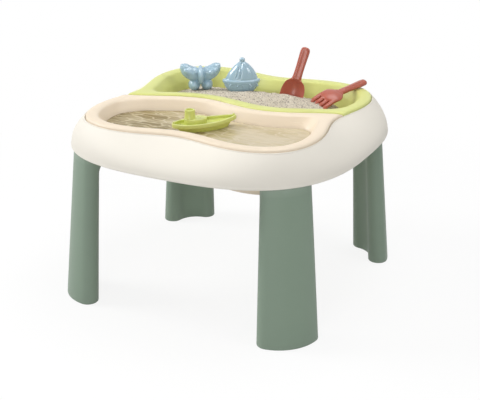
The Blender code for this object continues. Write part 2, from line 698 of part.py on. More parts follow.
def make_boat_hull():
    keel = WATER - BOAT_DRAUGHT
    gunwale = WATER + BOAT_FREEBOARD
    ledge = gunwale - BOAT_DECK_DROP - BOAT_WALL
    rim = -BOAT_GUNWALE
    loops = hull_loops()
    loops += [boat_loop(1.0, gunwale, rim), boat_loop(1.0, ledge, rim),
              boat_loop(DECK_SEAT, ledge, rim)]
    loops += [boat_loop(share, gunwale - drop, -BOAT_WALL, sheer) for share, drop, sheer in HOLD]
    loops.append(boat_loop(HOLD_FLOOR, keel + BOAT_WALL, -BOAT_WALL, 0.0))
    hull = finish("boat_hull", loft(loops), LIME)
    place_boat(hull)
    return hull


def oval(centre_x, half_x, half_y, z, points=OVAL_POINTS):
    return [(centre_x + half_x * math.cos(2 * math.pi * i / points),
             half_y * math.sin(2 * math.pi * i / points), z) for i in range(points)]


def make_boat_deck():
    """Deck, cabin and funnel: one thin moulding that drops into the hull."""
    deck = WATER + BOAT_FREEBOARD - BOAT_DECK_DROP
    roof = deck + CABIN_HEIGHT
    top = roof + FUNNEL_HEIGHT
    half_x, half_y = CABIN_HALF
    wall = BOAT_WALL
    edge = -BOAT_GUNWALE - GAP
    loops = [oval(FUNNEL_AT, FUNNEL_RADIUS - wall, FUNNEL_RADIUS - wall, top - wall),
             oval(FUNNEL_AT, FUNNEL_RADIUS - wall, FUNNEL_RADIUS - wall, roof - wall),
             oval(CABIN_AT, half_x - wall, half_y - wall, roof - wall),
             oval(CABIN_AT, half_x - wall, half_y - wall, deck - wall + GAP),
             boat_loop(DECK_SEAT, deck - wall + GAP, edge),
             boat_loop(1.0, deck - wall + GAP, edge), boat_loop(1.0, deck, edge),
             boat_loop(DECK_SEAT, deck, edge),
             oval(CABIN_AT, half_x, half_y, deck),
             oval(CABIN_AT, half_x, half_y, roof - CABIN_ROUND),
             oval(CABIN_AT, half_x - CABIN_ROUND, half_y - CABIN_ROUND, roof),
             oval(FUNNEL_AT, FUNNEL_RADIUS, FUNNEL_RADIUS, roof),
             oval(FUNNEL_AT, FUNNEL_RADIUS, FUNNEL_RADIUS, top)]
    obj = finish("boat_deck", loft(loops), LIME)
    place_boat(obj)
    return obj


# ---------------------------------------------------------------- sand moulds

def standing(at, turn, z):
    return Matrix.Translation((at[0], at[1], z)) @ Matrix.Rotation(turn, 4, "Z")


def mould_back(name):
    """A block that cuts off everything behind a mould's open back."""
    low = (-CUTTER_REACH, MOULD_BACK, -CUTTER_REACH)
    block = box(low, (CUTTER_REACH, CUTTER_REACH, 2 * CUTTER_REACH))
    return finish(name, block, None, helper=True)


def butterfly_shapes(wall):
    """The ellipsoids of the wings, lobes and body, drawn in by the wall's thickness."""
    shapes = []
    for side in (-1, 1):
        x, z = BUTTERFLY_WING_AT
        radii = [r - wall for r in BUTTERFLY_WING]
        shapes.append(((side * x, 0.0, z), radii, -side * BUTTERFLY_WING_TILT))
        x, z = BUTTERFLY_LOBE_AT
        shapes.append(((side * x, 0.0, z), [r - wall for r in BUTTERFLY_LOBE], 0.0))
    if not wall:
        shapes.append(((0.0, 0.0, BUTTERFLY_BODY_AT), list(BUTTERFLY_BODY), 0.0))
    return shapes


def make_butterfly():
    solid = [finish(f"butterfly_form_{i}", ellipsoid(*shape), None, helper=True)
             for i, shape in enumerate(butterfly_shapes(0.0))]
    hollow = [finish(f"butterfly_hollow_{i}", ellipsoid(*shape), None, helper=True)
              for i, shape in enumerate(butterfly_shapes(MOULD_WALL))]
    behind = mould_back("butterfly_back")
    mould = finish("butterfly_mould", ellipsoid(*butterfly_shapes(0.0)[0]), BLUE)
    for form in solid[1:]:
        boolean(mould, form, "UNION")
    boolean(mould, behind)
    for form in hollow:
        boolean(mould, form)
    for obj in solid + hollow + [behind, mould]:
        obj.matrix_world = BUTTERFLY_PLACE
    return mould


def sailboat_loops(wall, points=SAIL_POINTS):
    """Level sections of the mould, each an ellipse: hull, rim, sails and mast knob."""
    half, depth, height = SAILBOAT_HALF, SAILBOAT_DEPTH, SAILBOAT_HEIGHT
    loops = []
    for level, wide, deep, shift in SAILBOAT_ROWS:
        z = level * (height - 2 * wall) + wall
        if wall and level > SAILBOAT_SOLID:
            continue
        loop = []
        for i in range(points):
            a = 2 * math.pi * i / points
            loop.append((shift * half + (wide * half - wall) * math.cos(a),
                         (deep * depth - wall) * math.sin(a), z))
        loops.append(loop)
    return loops


def make_sailboat():
    mould = finish("sailboat_mould", loft(sailboat_loops(0.0)), BLUE)
    hollow = finish("sailboat_hollow", loft(sailboat_loops(MOULD_WALL)), None, helper=True)
    behind = mould_back("sailboat_back")
    boolean(mould, behind)
    boolean(mould, hollow)
    for obj in (mould, hollow, behind):
        obj.matrix_world = SAILBOAT_PLACE
    return mould


# ---------------------------------------------------------------- shovel and rake

def scoop_loop(z, width, scoop, wall, points=SECTION_POINTS):
    """A section across the blade: an arc bowed to the back (+Y), and back along its inside."""
    loop = []
    for i in range(points):
        u = -1 + 2 * i / (points - 1)
        loop.append((u * width / 2, scoop * (1 - u * u) + wall / 2, z))
    for i in range(points):
        u = 1 - 2 * i / (points - 1)
        loop.append((u * (width / 2 - wall / 3), scoop * (1 - u * u) - wall / 2, z))
    return loop


def grip_loop(z, width, thick, shift, points=SECTION_POINTS):
    """A section of the handle with the blade's number of points."""
    loop = []
    for i in range(points):
        a = math.pi * (1 - i / (points - 1))
        loop.append((width / 2 * math.cos(a), shift + thick / 2 * math.sin(a) + GRIP_EDGE / 2, z))
    for i in range(points):
        a = -math.pi * i / (points - 1)
        loop.append((width / 2 * math.cos(a), shift + thick / 2 * math.sin(a) - GRIP_EDGE / 2, z))
    return loop


def make_shovel():
    loops = [scoop_loop(-down * SHOVEL_BLADE, wide * SHOVEL_WIDTH, deep * SHOVEL_SCOOP, TOOL_WALL)
             for down, wide, deep in BLADE_ROWS]
    shift = SHOVEL_GRIP_THICK * SHOVEL_GRIP_SHIFT
    loops += [grip_loop(up * SHOVEL_HANDLE, wide * SHOVEL_GRIP, thick * SHOVEL_GRIP_THICK, shift)
              for up, wide, thick in GRIP_ROWS]
    shovel = finish("shovel", loft(loops), TERRACOTTA)
    shovel.matrix_world = SHOVEL_PLACE
    return shovel


def rake_outline():
    """Half of the rake seen from the front, from its handle's end to the middle of its tines."""
    grip, half = RAKE_GRIP / 2, RAKE_WIDTH / 2
    root = RAKE_TINE_LENGTH
    neck = root + RAKE_HEAD
    end = neck + RAKE_HANDLE
    side = [(grip * math.sin(a), end - grip * (1 - math.cos(a))) for a in (0.5, 1.05, 1.57)]
    side += [(grip, end - grip * 2), (grip * RAKE_NECK, (neck + end) / 2),
             (grip * RAKE_NECK, neck)]
    side += [(half * share, neck - drop) for share, drop in RAKE_SHOULDERS] + [(half, root)]
    pitch = (RAKE_WIDTH - RAKE_TINE) / (RAKE_TINES - 1)
    for i in range(RAKE_TINES // 2):
        middle = half - RAKE_TINE / 2 - i * pitch
        tip = RAKE_TINE / 2
        point = RAKE_TINE_POINT
        side += [(middle + tip, root / 2), (middle + tip * 0.8, point), (middle, 0.0),
                 (middle - tip * 0.8, point), (middle - tip, root / 2), (middle - tip, root)]
        if i + 1 < RAKE_TINES // 2:
            side.append((middle - pitch + tip, root))
    return side + [(-x, z) for x, z in reversed(side)]


def rake_shape(x, z, front):
    """Places a point of the outline on the front or back of the curved, tapering plate."""
    root = RAKE_TINE_LENGTH
    share = max(0.0, min(1.0, (z - root - RAKE_HEAD * 0.6) / (RAKE_HEAD * 0.6)))
    thick = RAKE_THICK + (RAKE_GRIP_THICK - RAKE_THICK) * share
    bend = RAKE_CURL * max(0.0, 1 - z / root) ** RAKE_CURL_POWER
    return (x, bend + (-thick / 2 if front else thick / 2), z)


def make_rake():
    bm = bmesh.new()
    outline = rake_outline()
    front = [bm.verts.new(rake_shape(x, z, True)) for x, z in outline]
    back = [bm.verts.new(rake_shape(x, z, False)) for x, z in outline]
    faces = [bm.faces.new(front), bm.faces.new(back)]
    bmesh.ops.triangulate(bm, faces=faces)
    for i in range(len(outline)):
        j = (i + 1) % len(outline)
        bm.faces.new((front[i], front[j], back[j], back[i]))
    rake = finish("rake", bm, TERRACOTTA)
    rake.matrix_world = RAKE_PLACE
    return rake


# ---------------------------------------------------------------- the table

clear_scene()

CREAM = material("cream_plastic", (0.90, 0.88, 0.83), 0.45)
BEIGE = material("beige_plastic", (0.80, 0.70, 0.56), 0.40)
LIME = material("lime_plastic", (0.66, 0.74, 0.22), 0.40)
SAGE = material("sage_plastic", (0.26, 0.36, 0.27), 0.50)
STEEL = material("screw_steel", (0.55, 0.55, 0.56), 0.35, 1.0)
WATER_LOOK = material("water", (0.62, 0.58, 0.44), 0.05)
SAND_LOOK = material("sand", (0.58, 0.53, 0.48), 0.95)
BLUE = material("blue_plastic", (0.30, 0.46, 0.60), 0.25)
TERRACOTTA = material("terracotta_plastic", (0.46, 0.10, 0.06), 0.30)

RAYS = tray_rays()
CORNERS = {"front_left": (-1, -1), "front_right": (1, -1),
           "back_left": (-1, 1), "back_right": (1, 1)}
BUTTERFLY_PLACE = standing(BUTTERFLY_AT, BUTTERFLY_TURN, SAND)
SAILBOAT_PLACE = standing(SAILBOAT_AT, SAILBOAT_TURN, SAND)
SHOVEL_PLACE = (Matrix.Translation((*SHOVEL_AT, CROWN - SHOVEL_ENTRY))
                @ Matrix.Rotation(SHOVEL_TURN, 4, "Z") @ Matrix.Rotation(-SHOVEL_LEAN, 4, "X")
                @ Matrix.Rotation(SHOVEL_ROLL, 4, "Y")
                @ Matrix.Translation((0.0, 0.0, SHOVEL_BLADE - SHOVEL_BURIED)))
RAKE_PLACE = (Matrix.Translation((*RAKE_AT, CROWN - RAKE_TIP_DROP))
              @ Matrix.Rotation(RAKE_HEADING - math.pi / 2, 4, "Z")
              @ Matrix.Rotation(RAKE_PITCH - math.pi / 2, 4, "X")
              @ Matrix.Rotation(RAKE_ROLL, 4, "Z") @ Matrix.Translation((0.0, -RAKE_CURL, 0.0)))

make_frame()
for corner_name, corner_signs in CORNERS.items():
    make_leg(f"leg_{corner_name}", corner_signs)
    for screw_number, screw_spread in enumerate((-SCREW_SPREAD, SCREW_SPREAD), 1):
        make_screw(f"leg_screw_{corner_name}_{screw_number}", corner_signs, screw_spread)
make_tray("water_tray", BEIGE)
make_tray("sand_tray", LIME, turn=True)
make_water()
make_sand()
make_boat_hull()
make_boat_deck()
make_butterfly()
make_sailboat()
make_shovel()
make_rake()
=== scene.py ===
# %% [markdown]
# # A child's sand and water table
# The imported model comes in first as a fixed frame, in metres: +Z up, the water side at the
# front (-Y), the sand side at the back (+Y). Its nodes are never moved. Each faceted moulding
# is stood for by a finer piece that is modelled here in the same place, because the real ones
# are smooth plastic, and the screws stay as they are and only get their steel.

# %% Load the frame
import math

import bmesh
import bpy
import numpy as np
from mathutils import Matrix, Vector, noise


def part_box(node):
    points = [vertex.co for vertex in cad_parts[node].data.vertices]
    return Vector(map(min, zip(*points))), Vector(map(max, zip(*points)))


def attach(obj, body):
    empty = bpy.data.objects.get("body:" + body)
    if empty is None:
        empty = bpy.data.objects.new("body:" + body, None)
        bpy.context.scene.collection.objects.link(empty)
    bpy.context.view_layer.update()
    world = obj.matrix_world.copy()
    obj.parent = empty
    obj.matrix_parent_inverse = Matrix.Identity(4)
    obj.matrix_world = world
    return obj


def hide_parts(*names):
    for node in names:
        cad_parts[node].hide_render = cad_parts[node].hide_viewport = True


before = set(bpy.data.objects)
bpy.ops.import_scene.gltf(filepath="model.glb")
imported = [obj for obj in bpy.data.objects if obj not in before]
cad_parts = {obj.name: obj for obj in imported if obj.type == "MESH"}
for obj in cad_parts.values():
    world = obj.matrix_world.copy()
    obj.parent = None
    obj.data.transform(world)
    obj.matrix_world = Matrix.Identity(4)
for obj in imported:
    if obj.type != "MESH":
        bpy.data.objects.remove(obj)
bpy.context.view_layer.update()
for node in sorted(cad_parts):
    low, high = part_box(node)
    print(f"{node:26s} {tuple(round(v, 3) for v in low)} {tuple(round(v, 3) for v in high)}")

# %% [markdown]
# ## Nodes by name
# Every material below is a small tree of nodes. By hand one adds a node, sets its menus and
# fields, and pulls links from socket to socket. These helpers do the same: a field gets
# a value, or a link where it is given another node's socket.

# %% Helpers: nodes and materials
def fill(tree, node, inputs):
    """Sets a node's inputs, each to a value or to another node's output."""
    for key, value in inputs.items():
        if isinstance(value, bpy.types.NodeSocket):
            tree.links.new(value, node.inputs[key])
        else:
            node.inputs[key].default_value = value


def add_node(tree, kind, inputs=(), **settings):
    node = tree.nodes.new(f"ShaderNode{kind}")
    for key, value in settings.items():
        setattr(node, key, value)
    fill(tree, node, dict(inputs))
    return node


def calc(tree, operation, first, second):
    """The result of a Math node."""
    return add_node(tree, "Math", {0: first, 1: second}, operation=operation).outputs[0]


def map_range(tree, value, **ends):
    """A value from one range to another, such as from_min=0, to_max=1."""
    inputs = {key.replace("_", " ").title(): end for key, end in ends.items()}
    return add_node(tree, "MapRange", {"Value": value, **inputs}).outputs["Result"]


def noise_node(tree, vector, scale, detail, output="Fac"):
    inputs = {"Vector": vector, "Scale": scale, "Detail": detail}
    return add_node(tree, "TexNoise", inputs).outputs[output]


def bump_node(tree, strength, distance, height):
    inputs = {"Strength": strength, "Distance": distance, "Height": height}
    return add_node(tree, "Bump", inputs).outputs["Normal"]


def ramp_node(tree, factor, first, last, *between):
    """A colour ramp; each stop is a position and a linear colour."""
    node = add_node(tree, "ValToRGB", {"Fac": factor})
    stops = node.color_ramp.elements
    for stop, (position, colour) in zip(stops, (first, last)):
        stop.position, stop.color = position, colour
    for position, colour in between:
        stops.new(position).color = colour
    return node.outputs["Color"]


def on_object(tree):
    return add_node(tree, "TexCoord").outputs["Object"]


def new_look(name):
    """A new material, with its node tree and its shader."""
    look = bpy.data.materials.new(name)
    look.use_nodes = True
    return look, look.node_tree, look.node_tree.nodes["Principled BSDF"]


# %% [markdown]
# ## Camera, floor and light
# The photograph looks down at 22 degrees from the front right. The floor and the world are
# white to the camera and in reflections, and only the lamps and a modest ambient light reach
# the object, so that colours come out about as they are written. A large soft lamp stands at
# the upper left, and weaker ones above, in front and at the right fill the shadows.

# %% Camera
CAMERA_AT = Vector((1.100, -2.158, 1.176))
CAMERA_AIM = Vector((0.016, 0.008, 0.191))
CAMERA_LENS, SENSOR_WIDTH = 81.1, 36.0


def facing(at, aim):
    return (Vector(aim) - Vector(at)).to_track_quat("-Z", "Y").to_euler()


bpy.ops.object.camera_add(location=CAMERA_AT)
camera = bpy.context.object
camera.rotation_euler = facing(CAMERA_AT, CAMERA_AIM)
camera.data.lens = CAMERA_LENS
camera.data.sensor_width = SENSOR_WIDTH
bpy.context.scene.camera = camera
bpy.context.scene.view_settings.view_transform = "Standard"
print("camera", round((CAMERA_AIM - CAMERA_AT).length, 3), "m from the table")

# %% World and lamps
AMBIENT, LAMP_AIM = 0.25, (0.0, 0.0, 0.35)
LAMPS = {"key_softbox": ((-2.8, -0.9, 2.3), 1.4, 72.0), "top_softbox": ((0.3, 0.5, 2.6), 1.5, 26.0),
         "front_softbox": ((0.7, -2.8, 1.1), 1.2, 22.0),
         "right_softbox": ((2.6, -0.2, 2.0), 0.9, 15.0)}


def white_to_the_eye(tree):
    """1 where the camera looks straight at a surface, or at its reflection."""
    rays = add_node(tree, "LightPath").outputs
    total = calc(tree, "MAXIMUM", rays["Is Camera Ray"], rays["Is Glossy Ray"])
    return calc(tree, "MAXIMUM", total, rays["Is Transmission Ray"])


world = bpy.data.worlds.new("studio")
world.use_nodes = True
bpy.context.scene.world = world
tree = world.node_tree
level = map_range(tree, white_to_the_eye(tree), to_min=AMBIENT, to_max=1.0)
fill(tree, tree.nodes["Background"], {"Color": (1.0, 1.0, 1.0, 1.0), "Strength": level})
for name, (at, size, power) in LAMPS.items():
    bpy.ops.object.light_add(type="AREA", location=at)
    lamp = bpy.context.object
    lamp.name = name
    lamp.rotation_euler = facing(at, LAMP_AIM)
    lamp.data.shape = "SQUARE"
    lamp.data.size = size
    lamp.data.energy = power
    print(name, power, "W at", at)

# %% Floor
FLOOR_SIZE, FLOOR_ROUGHNESS = 14.0, 0.9
SHADOW_SHARE, SHADOW_FROM, SHADOW_TO = 0.13, 0.7, 1.3
FLOOR_BOUNCE, FLOOR_SEEN = 0.58, 0.99

bpy.ops.mesh.primitive_plane_add(size=FLOOR_SIZE)
floor = bpy.context.object
floor.name = "floor"
floor_look, tree, matte = new_look("floor_white")
seen = white_to_the_eye(tree)
pale = map_range(tree, seen, to_min=FLOOR_BOUNCE, to_max=FLOOR_SEEN)
fill(tree, matte, {"Roughness": FLOOR_ROUGHNESS, "Base Color": pale})
away = add_node(tree, "VectorMath", {0: on_object(tree)}, operation="LENGTH").outputs["Value"]
shadow = map_range(tree, away, from_min=SHADOW_FROM, from_max=SHADOW_TO,
                   to_min=1.0 - SHADOW_SHARE, to_max=1.0)
blend = add_node(tree, "MixShader", {"Fac": calc(tree, "MULTIPLY", seen, shadow),
                                     1: matte.outputs[0], 2: add_node(tree, "Emission").outputs[0]})
fill(tree, tree.nodes["Material Output"], {"Surface": blend.outputs[0]})
floor.data.materials.append(floor_look)

# %% [markdown]
# ## Finishes
# Every large part is one moulding in coloured polyethylene: satin, with a fine grain from the
# mould, a faint cloudiness in the colour and slightly paler edges, a painted highlight. The
# toys are glossier and have no grain. One node group makes all of that from Object
# coordinates, and each plastic gives it its own values. The wet water, the sand and the steel
# have materials of their own.

# %% Colours as the eye reads them
def srgb(red, green, blue):
    """Linear colour, with its alpha, of an 8-bit screen colour."""
    shares = [value / 255 for value in (red, green, blue)]
    return (*(s / 12.92 if s <= 0.04045 else ((s + 0.055) / 1.055) ** 2.4 for s in shares), 1.0)


# %% Group: moulded skin
CLOUD_SCALE, SMEAR_SCALE, SMEAR_SHARE, GRAIN_SCALE, GRAIN_DEPTH = 9.0, 45.0, 0.3, 1100.0, 0.0004
EDGE_FROM, EDGE_TO, ROUGHNESS_RANGE, COAT_ROUGHNESS = 0.51, 0.60, 0.04, 0.06

group = bpy.data.node_groups.new("moulded_skin", "ShaderNodeTree")
for name, way, kind in (("Colour", "INPUT", "Color"), ("Mottle", "INPUT", "Float"),
                        ("Edge highlight", "INPUT", "Float"), ("Roughness", "INPUT", "Float"),
                        ("Colour", "OUTPUT", "Color"), ("Roughness", "OUTPUT", "Float"),
                        ("Height", "OUTPUT", "Float")):
    group.interface.new_socket(name, in_out=way, socket_type=f"NodeSocket{kind}")
given = group.nodes.new("NodeGroupInput").outputs
place = on_object(group)
clouds = noise_node(group, place, CLOUD_SCALE, 3.0)
smears = noise_node(group, place, SMEAR_SCALE, 2.0)
cloudy = calc(group, "ADD", calc(group, "MULTIPLY", clouds, 1 - SMEAR_SHARE),
              calc(group, "MULTIPLY", smears, SMEAR_SHARE))
shade = calc(group, "MULTIPLY", calc(group, "SUBTRACT", cloudy, 0.5), given["Mottle"])
shade = calc(group, "ADD", calc(group, "MULTIPLY", shade, 2.0), 1.0)
tinted = add_node(group, "VectorMath", {0: given["Colour"], "Scale": shade}, operation="SCALE")
# Convex edges are painted paler by how pointed the surface is: a painted highlight.
edges = map_range(group, add_node(group, "NewGeometry").outputs["Pointiness"],
                  from_min=EDGE_FROM, from_max=EDGE_TO)
edge_highlight_share = calc(group, "MULTIPLY", calc(group, "MULTIPLY", edges, given["Edge highlight"]),
            calc(group, "ADD", smears, 0.4))
paler = add_node(group, "Mix", {"Factor": edge_highlight_share, "A": tinted.outputs["Vector"],
                                  "B": (1.0, 1.0, 1.0, 1.0)}, data_type="RGBA")
rough = calc(group, "MULTIPLY", calc(group, "SUBTRACT", smears, 0.5), ROUGHNESS_RANGE)
fill(group, group.nodes.new("NodeGroupOutput"),
     {"Colour": paler.outputs["Result"], "Height": noise_node(group, place, GRAIN_SCALE, 3.0),
      "Roughness": calc(group, "ADD", rough, given["Roughness"])})
print("moulded_skin:", len(group.nodes), "nodes")


# %% Plastics
def plastic(name, colour, roughness, mottle, edge_highlight, bump, coat=0.0):
    look, tree, shader = new_look(name)
    made = add_node(tree, "Group", node_tree=group)
    fill(tree, made, {"Colour": srgb(*colour), "Mottle": mottle, "Edge highlight": edge_highlight,
                      "Roughness": roughness})
    fill(tree, shader, {"Base Color": made.outputs["Colour"], "Coat Weight": coat,
                        "Roughness": made.outputs["Roughness"], "Coat Roughness": COAT_ROUGHNESS,
                        "Normal": bump_node(tree, bump, GRAIN_DEPTH, made.outputs["Height"])})
    return look


# The fourth value of each plastic sets how much paler its edges are painted, a painted highlight.
CREAM = plastic("cream_moulding", (236, 231, 220), 0.60, 0.02, 0.10, 0.25)
BEIGE = plastic("beige_moulding", (235, 219, 196), 0.42, 0.03, 0.12, 0.25)
LIME = plastic("lime_moulding", (212, 216, 132), 0.40, 0.04, 0.16, 0.25)
SAGE = plastic("sage_moulding", (132, 151, 133), 0.46, 0.04, 0.10, 0.35)
BOAT_LIME = plastic("boat_lime", (206, 212, 112), 0.28, 0.03, 0.18, 0.10)
BLUE = plastic("mould_blue", (158, 188, 206), 0.20, 0.03, 0.10, 0.0, coat=0.6)
TERRACOTTA = plastic("tool_terracotta", (174, 85, 65), 0.30, 0.05, 0.03, 0.0, coat=0.1)

# %% Steel for the screws
STEEL, tree, shader = new_look("screw_steel")
brushed = noise_node(tree, on_object(tree), 2500.0, 4.0)
steel_tint = ramp_node(tree, brushed, (0.0, (0.40, 0.40, 0.41, 1.0)),
                       (1.0, (0.68, 0.68, 0.67, 1.0)))
fill(tree, shader, {"Metallic": 1.0, "Base Color": steel_tint,
                    "Roughness": map_range(tree, brushed, to_min=0.22, to_max=0.48)})
for name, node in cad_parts.items():
    if "screw" in name:
        node.data.materials.clear()
        node.data.materials.append(STEEL)

# %% [markdown]
# ## Skinning a moulding
# A blow-moulded or injected part is a closed skin whose sections change smoothly. By hand one
# adds a circle with as many vertices as the section needs, extrudes it again and again, and
# sets each new ring in place; an end is filled, or the last ring is bridged to the first.
# The skin helper does that, so that each piece below only has to say its rings.

# %% Helpers: pieces
def active(piece):
    bpy.ops.object.select_all(action="DESELECT")
    piece.select_set(True)
    bpy.context.view_layer.objects.active = piece


def joined(target, others):
    """The others become part of the target's mesh."""
    active(target)
    for other in others:
        other.select_set(True)
    bpy.ops.object.join()
    return target


def add_modifier(piece, kind, **values):
    active(piece)
    bpy.ops.object.modifier_add(type=kind)
    modifier = piece.modifiers[-1]
    for key, value in values.items():
        setattr(modifier, key, value)
    bpy.ops.object.modifier_apply(modifier=modifier.name)


# %% Helper: skin
def skin(name, rings, ring=False):
    """A skin over rings of points, each extruded from the one before it."""
    bpy.ops.mesh.primitive_circle_add(vertices=len(rings[0]), radius=0.1, fill_type="NOTHING")
    piece = bpy.context.object
    piece.name = piece.data.name = name
    bpy.ops.object.mode_set(mode="EDIT")
    bpy.ops.mesh.select_mode(type="VERT")
    bpy.ops.mesh.select_all(action="SELECT")
    bm = bmesh.from_edit_mesh(piece.data)
    row = list(bm.verts)
    first = [vert.index for vert in row]
    for vert, point in zip(row, rings[0]):
        vert.co = point
    for points in rings[1:]:
        bpy.ops.mesh.extrude_region()
        following = []
        for vert in row:
            ends = [edge.other_vert(vert) for edge in vert.link_edges]
            following.append(next(end for end in ends if end.select))
        row = following
        for vert, point in zip(row, points):
            vert.co = point
    if not ring:
        bpy.ops.mesh.edge_face_add()
        bpy.ops.mesh.select_all(action="DESELECT")
    bm = bmesh.from_edit_mesh(piece.data)
    bm.verts.ensure_lookup_table()
    for index in first:
        bm.verts[index].select = True
    bm.select_flush(True)
    bmesh.update_edit_mesh(piece.data)
    if ring:
        bpy.ops.mesh.bridge_edge_loops()
    else:
        bpy.ops.mesh.edge_face_add()
    bpy.ops.mesh.select_all(action="SELECT")
    bpy.ops.mesh.normals_make_consistent(inside=False)
    bpy.ops.object.mode_set(mode="OBJECT")
    return piece


def finish(piece, look, body, replaced, angle=35):
    """Shades a piece, gives it its finish, makes it ride with its body and hides the parts it
    stands for.
    """
    active(piece)
    bpy.ops.object.shade_smooth_by_angle(angle=math.radians(angle))
    piece.data.materials.clear()
    piece.data.materials.append(look)
    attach(piece, body)
    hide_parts(*replaced)
    faces = sum(len(face.vertices) - 2 for face in piece.data.polygons)
    print(f"{piece.name}: {faces} triangles")


def spline(points, steps):
    """A smooth curve through the given points, with so many steps to each span."""
    p = np.array(points, float)
    p = np.vstack([2 * p[0] - p[1], p, 2 * p[-1] - p[-2]])
    out = []
    for i in range(1, len(p) - 2):
        a, b, c, d = p[i - 1:i + 3]
        for t in np.linspace(0, 1, steps, endpoint=False):
            out.append(0.5 * (2 * b + (c - a) * t + (2 * a - 5 * b + 4 * c - d) * t ** 2
                              + (3 * b - a - 3 * c + d) * t ** 3))
    out.append(p[-2])
    return np.array(out)


def at_height(z, *columns):
    """A ring at one height, from its points or from their x and y."""
    points = np.column_stack(columns)
    return np.column_stack([points, np.full(len(points), z)])


def polar_ring(angles, radius, z):
    return at_height(z, radius * np.cos(angles), radius * np.sin(angles))


def quarter(*degrees):
    """A quarter round of radius 1: how far in and how far down at each angle."""
    for turn in map(math.radians, degrees):
        yield 1 - math.cos(turn), 1 - math.sin(turn)


def eased(x, start, end):
    """A smooth rise from 0 at the start to 1 at the end."""
    share = np.clip((x - start) / (end - start), 0, 1)
    return share * share * (3 - 2 * share)


# %% [markdown]
# ## The frame
# The cream frame is one moulding: a rounded square whose full, convex apron falls from
# a narrow rim, and the rim's outline is drawn in at the middle of each side. Inside is the
# ledge that the trays rest on, and below it four hollow stems go down into the legs. The
# section is a curve from the bottom edge to the rim, so its rings are skinned from outline to
# outline, with a fine bead along the bottom edge that catches the light.

# %% Sizes of the frame
FRAME_HALF_X, FRAME_HALF_Y, FRAME_SQUARENESS = 0.3436, 0.3415, 2.82
FRAME_BOTTOM, FRAME_TOP, FRAME_WALL, FRAME_SWELL = 0.361, 0.430, 0.003, 2.1
RIM_HALF, RIM_SQUARENESS, RIM_WAIST = 0.2867, 4.23, 0.1037
TRAY_CLEARANCE, UPSTAND, EDGE_ROUND = 0.0018, 0.003, 0.0015
LEDGE, LEDGE_WIDTH, FLANGE_DEPTH = 0.424, 0.022, 0.012
BEAD = 0.0008
RING_POINTS = 320
angles = np.linspace(0, 2 * math.pi, RING_POINTS, endpoint=False)


def frame_radius(angle):
    across = np.abs(np.cos(angle) / FRAME_HALF_X) ** FRAME_SQUARENESS
    along = np.abs(np.sin(angle) / FRAME_HALF_Y) ** FRAME_SQUARENESS
    return (across + along) ** (-1 / FRAME_SQUARENESS)


def rim_radius(angle):
    n = RIM_SQUARENESS
    square = (np.abs(np.cos(angle)) ** n + np.abs(np.sin(angle)) ** n) ** (-1 / n)
    return RIM_HALF * square * (1 - RIM_WAIST * (0.5 + 0.5 * np.cos(4 * angle)) ** 2)


def frame_ring(lean, z, inset=0.0):
    low = frame_radius(angles)
    high = rim_radius(angles) + TRAY_CLEARANCE + UPSTAND
    return polar_ring(angles, low + (high - low) * lean - inset, z)


def rim_ring(outset, z):
    return polar_ring(angles, rim_radius(angles) + outset, z)


# %% The apron, rim and ledge
rise = FRAME_TOP - EDGE_ROUND - FRAME_BOTTOM
rings = [frame_ring(0.0, FRAME_BOTTOM + up, inset) for inset, up in
         ((0.002, 0.0), (0.0008, 0.0003), (0.0002, 0.0011), (0.0, 0.0022), (0.0002, 0.0042),
          (BEAD, 0.0056))]
rings += [frame_ring(t ** FRAME_SWELL, FRAME_BOTTOM + rise * t, BEAD * (1 - t) ** 2)
          for t in np.linspace(0.11, 1.0, 26)]
rings += [frame_ring(1.0, FRAME_TOP - EDGE_ROUND * drop, EDGE_ROUND / 2 * draw)
          for draw, drop in quarter(30, 60, 90)]
rings += [rim_ring(TRAY_CLEARANCE + EDGE_ROUND / 2 * draw, FRAME_TOP - EDGE_ROUND * drop)
          for draw, drop in quarter(90, 60, 30, 0)]
rings += [rim_ring(TRAY_CLEARANCE, LEDGE), rim_ring(0.0005 - LEDGE_WIDTH, LEDGE),
          rim_ring(-LEDGE_WIDTH, LEDGE - 0.0005), rim_ring(-LEDGE_WIDTH, LEDGE - FLANGE_DEPTH),
          rim_ring(FRAME_WALL - LEDGE_WIDTH, LEDGE - FLANGE_DEPTH),
          rim_ring(FRAME_WALL - LEDGE_WIDTH, LEDGE - FRAME_WALL),
          frame_ring(1.0, LEDGE - FRAME_WALL, FRAME_WALL)]
inner_rise = LEDGE - FRAME_WALL - FRAME_BOTTOM
rings += [frame_ring(t ** FRAME_SWELL, FRAME_BOTTOM + inner_rise * t, FRAME_WALL)
          for t in np.linspace(0.94, 0.0, 16)]
apron = skin("apron_frame", rings, ring=True)
print("frame rings", len(rings))

# %% Sizes of a leg, and its bean-shaped outline
LEG_TOP, LEG_RADIUS, LEG_HALF_ANGLE, LEG_THICK = 0.363, 0.0765, 0.490, 0.0394
LEG_AT, LEG_LEAN = (0.7372 * FRAME_HALF_X, 0.7225 * FRAME_HALF_Y), (0.064, 0.0633)
LEG_ANGLE_TAPER, LEG_THIN, LEG_WALL, FOOT_ROUND = 0.470, 0.022, 0.003, 0.003
ARC_STEPS, CAP_STEPS = 30, 14
COLLAR, COLLAR_FROM, COLLAR_TO, HOLLOW_FROM = 0.008, 0.050, 0.020, 0.060
CORNERS = {"front_left": (-1, -1), "front_right": (1, -1), "back_left": (-1, 1),
           "back_right": (1, 1)}


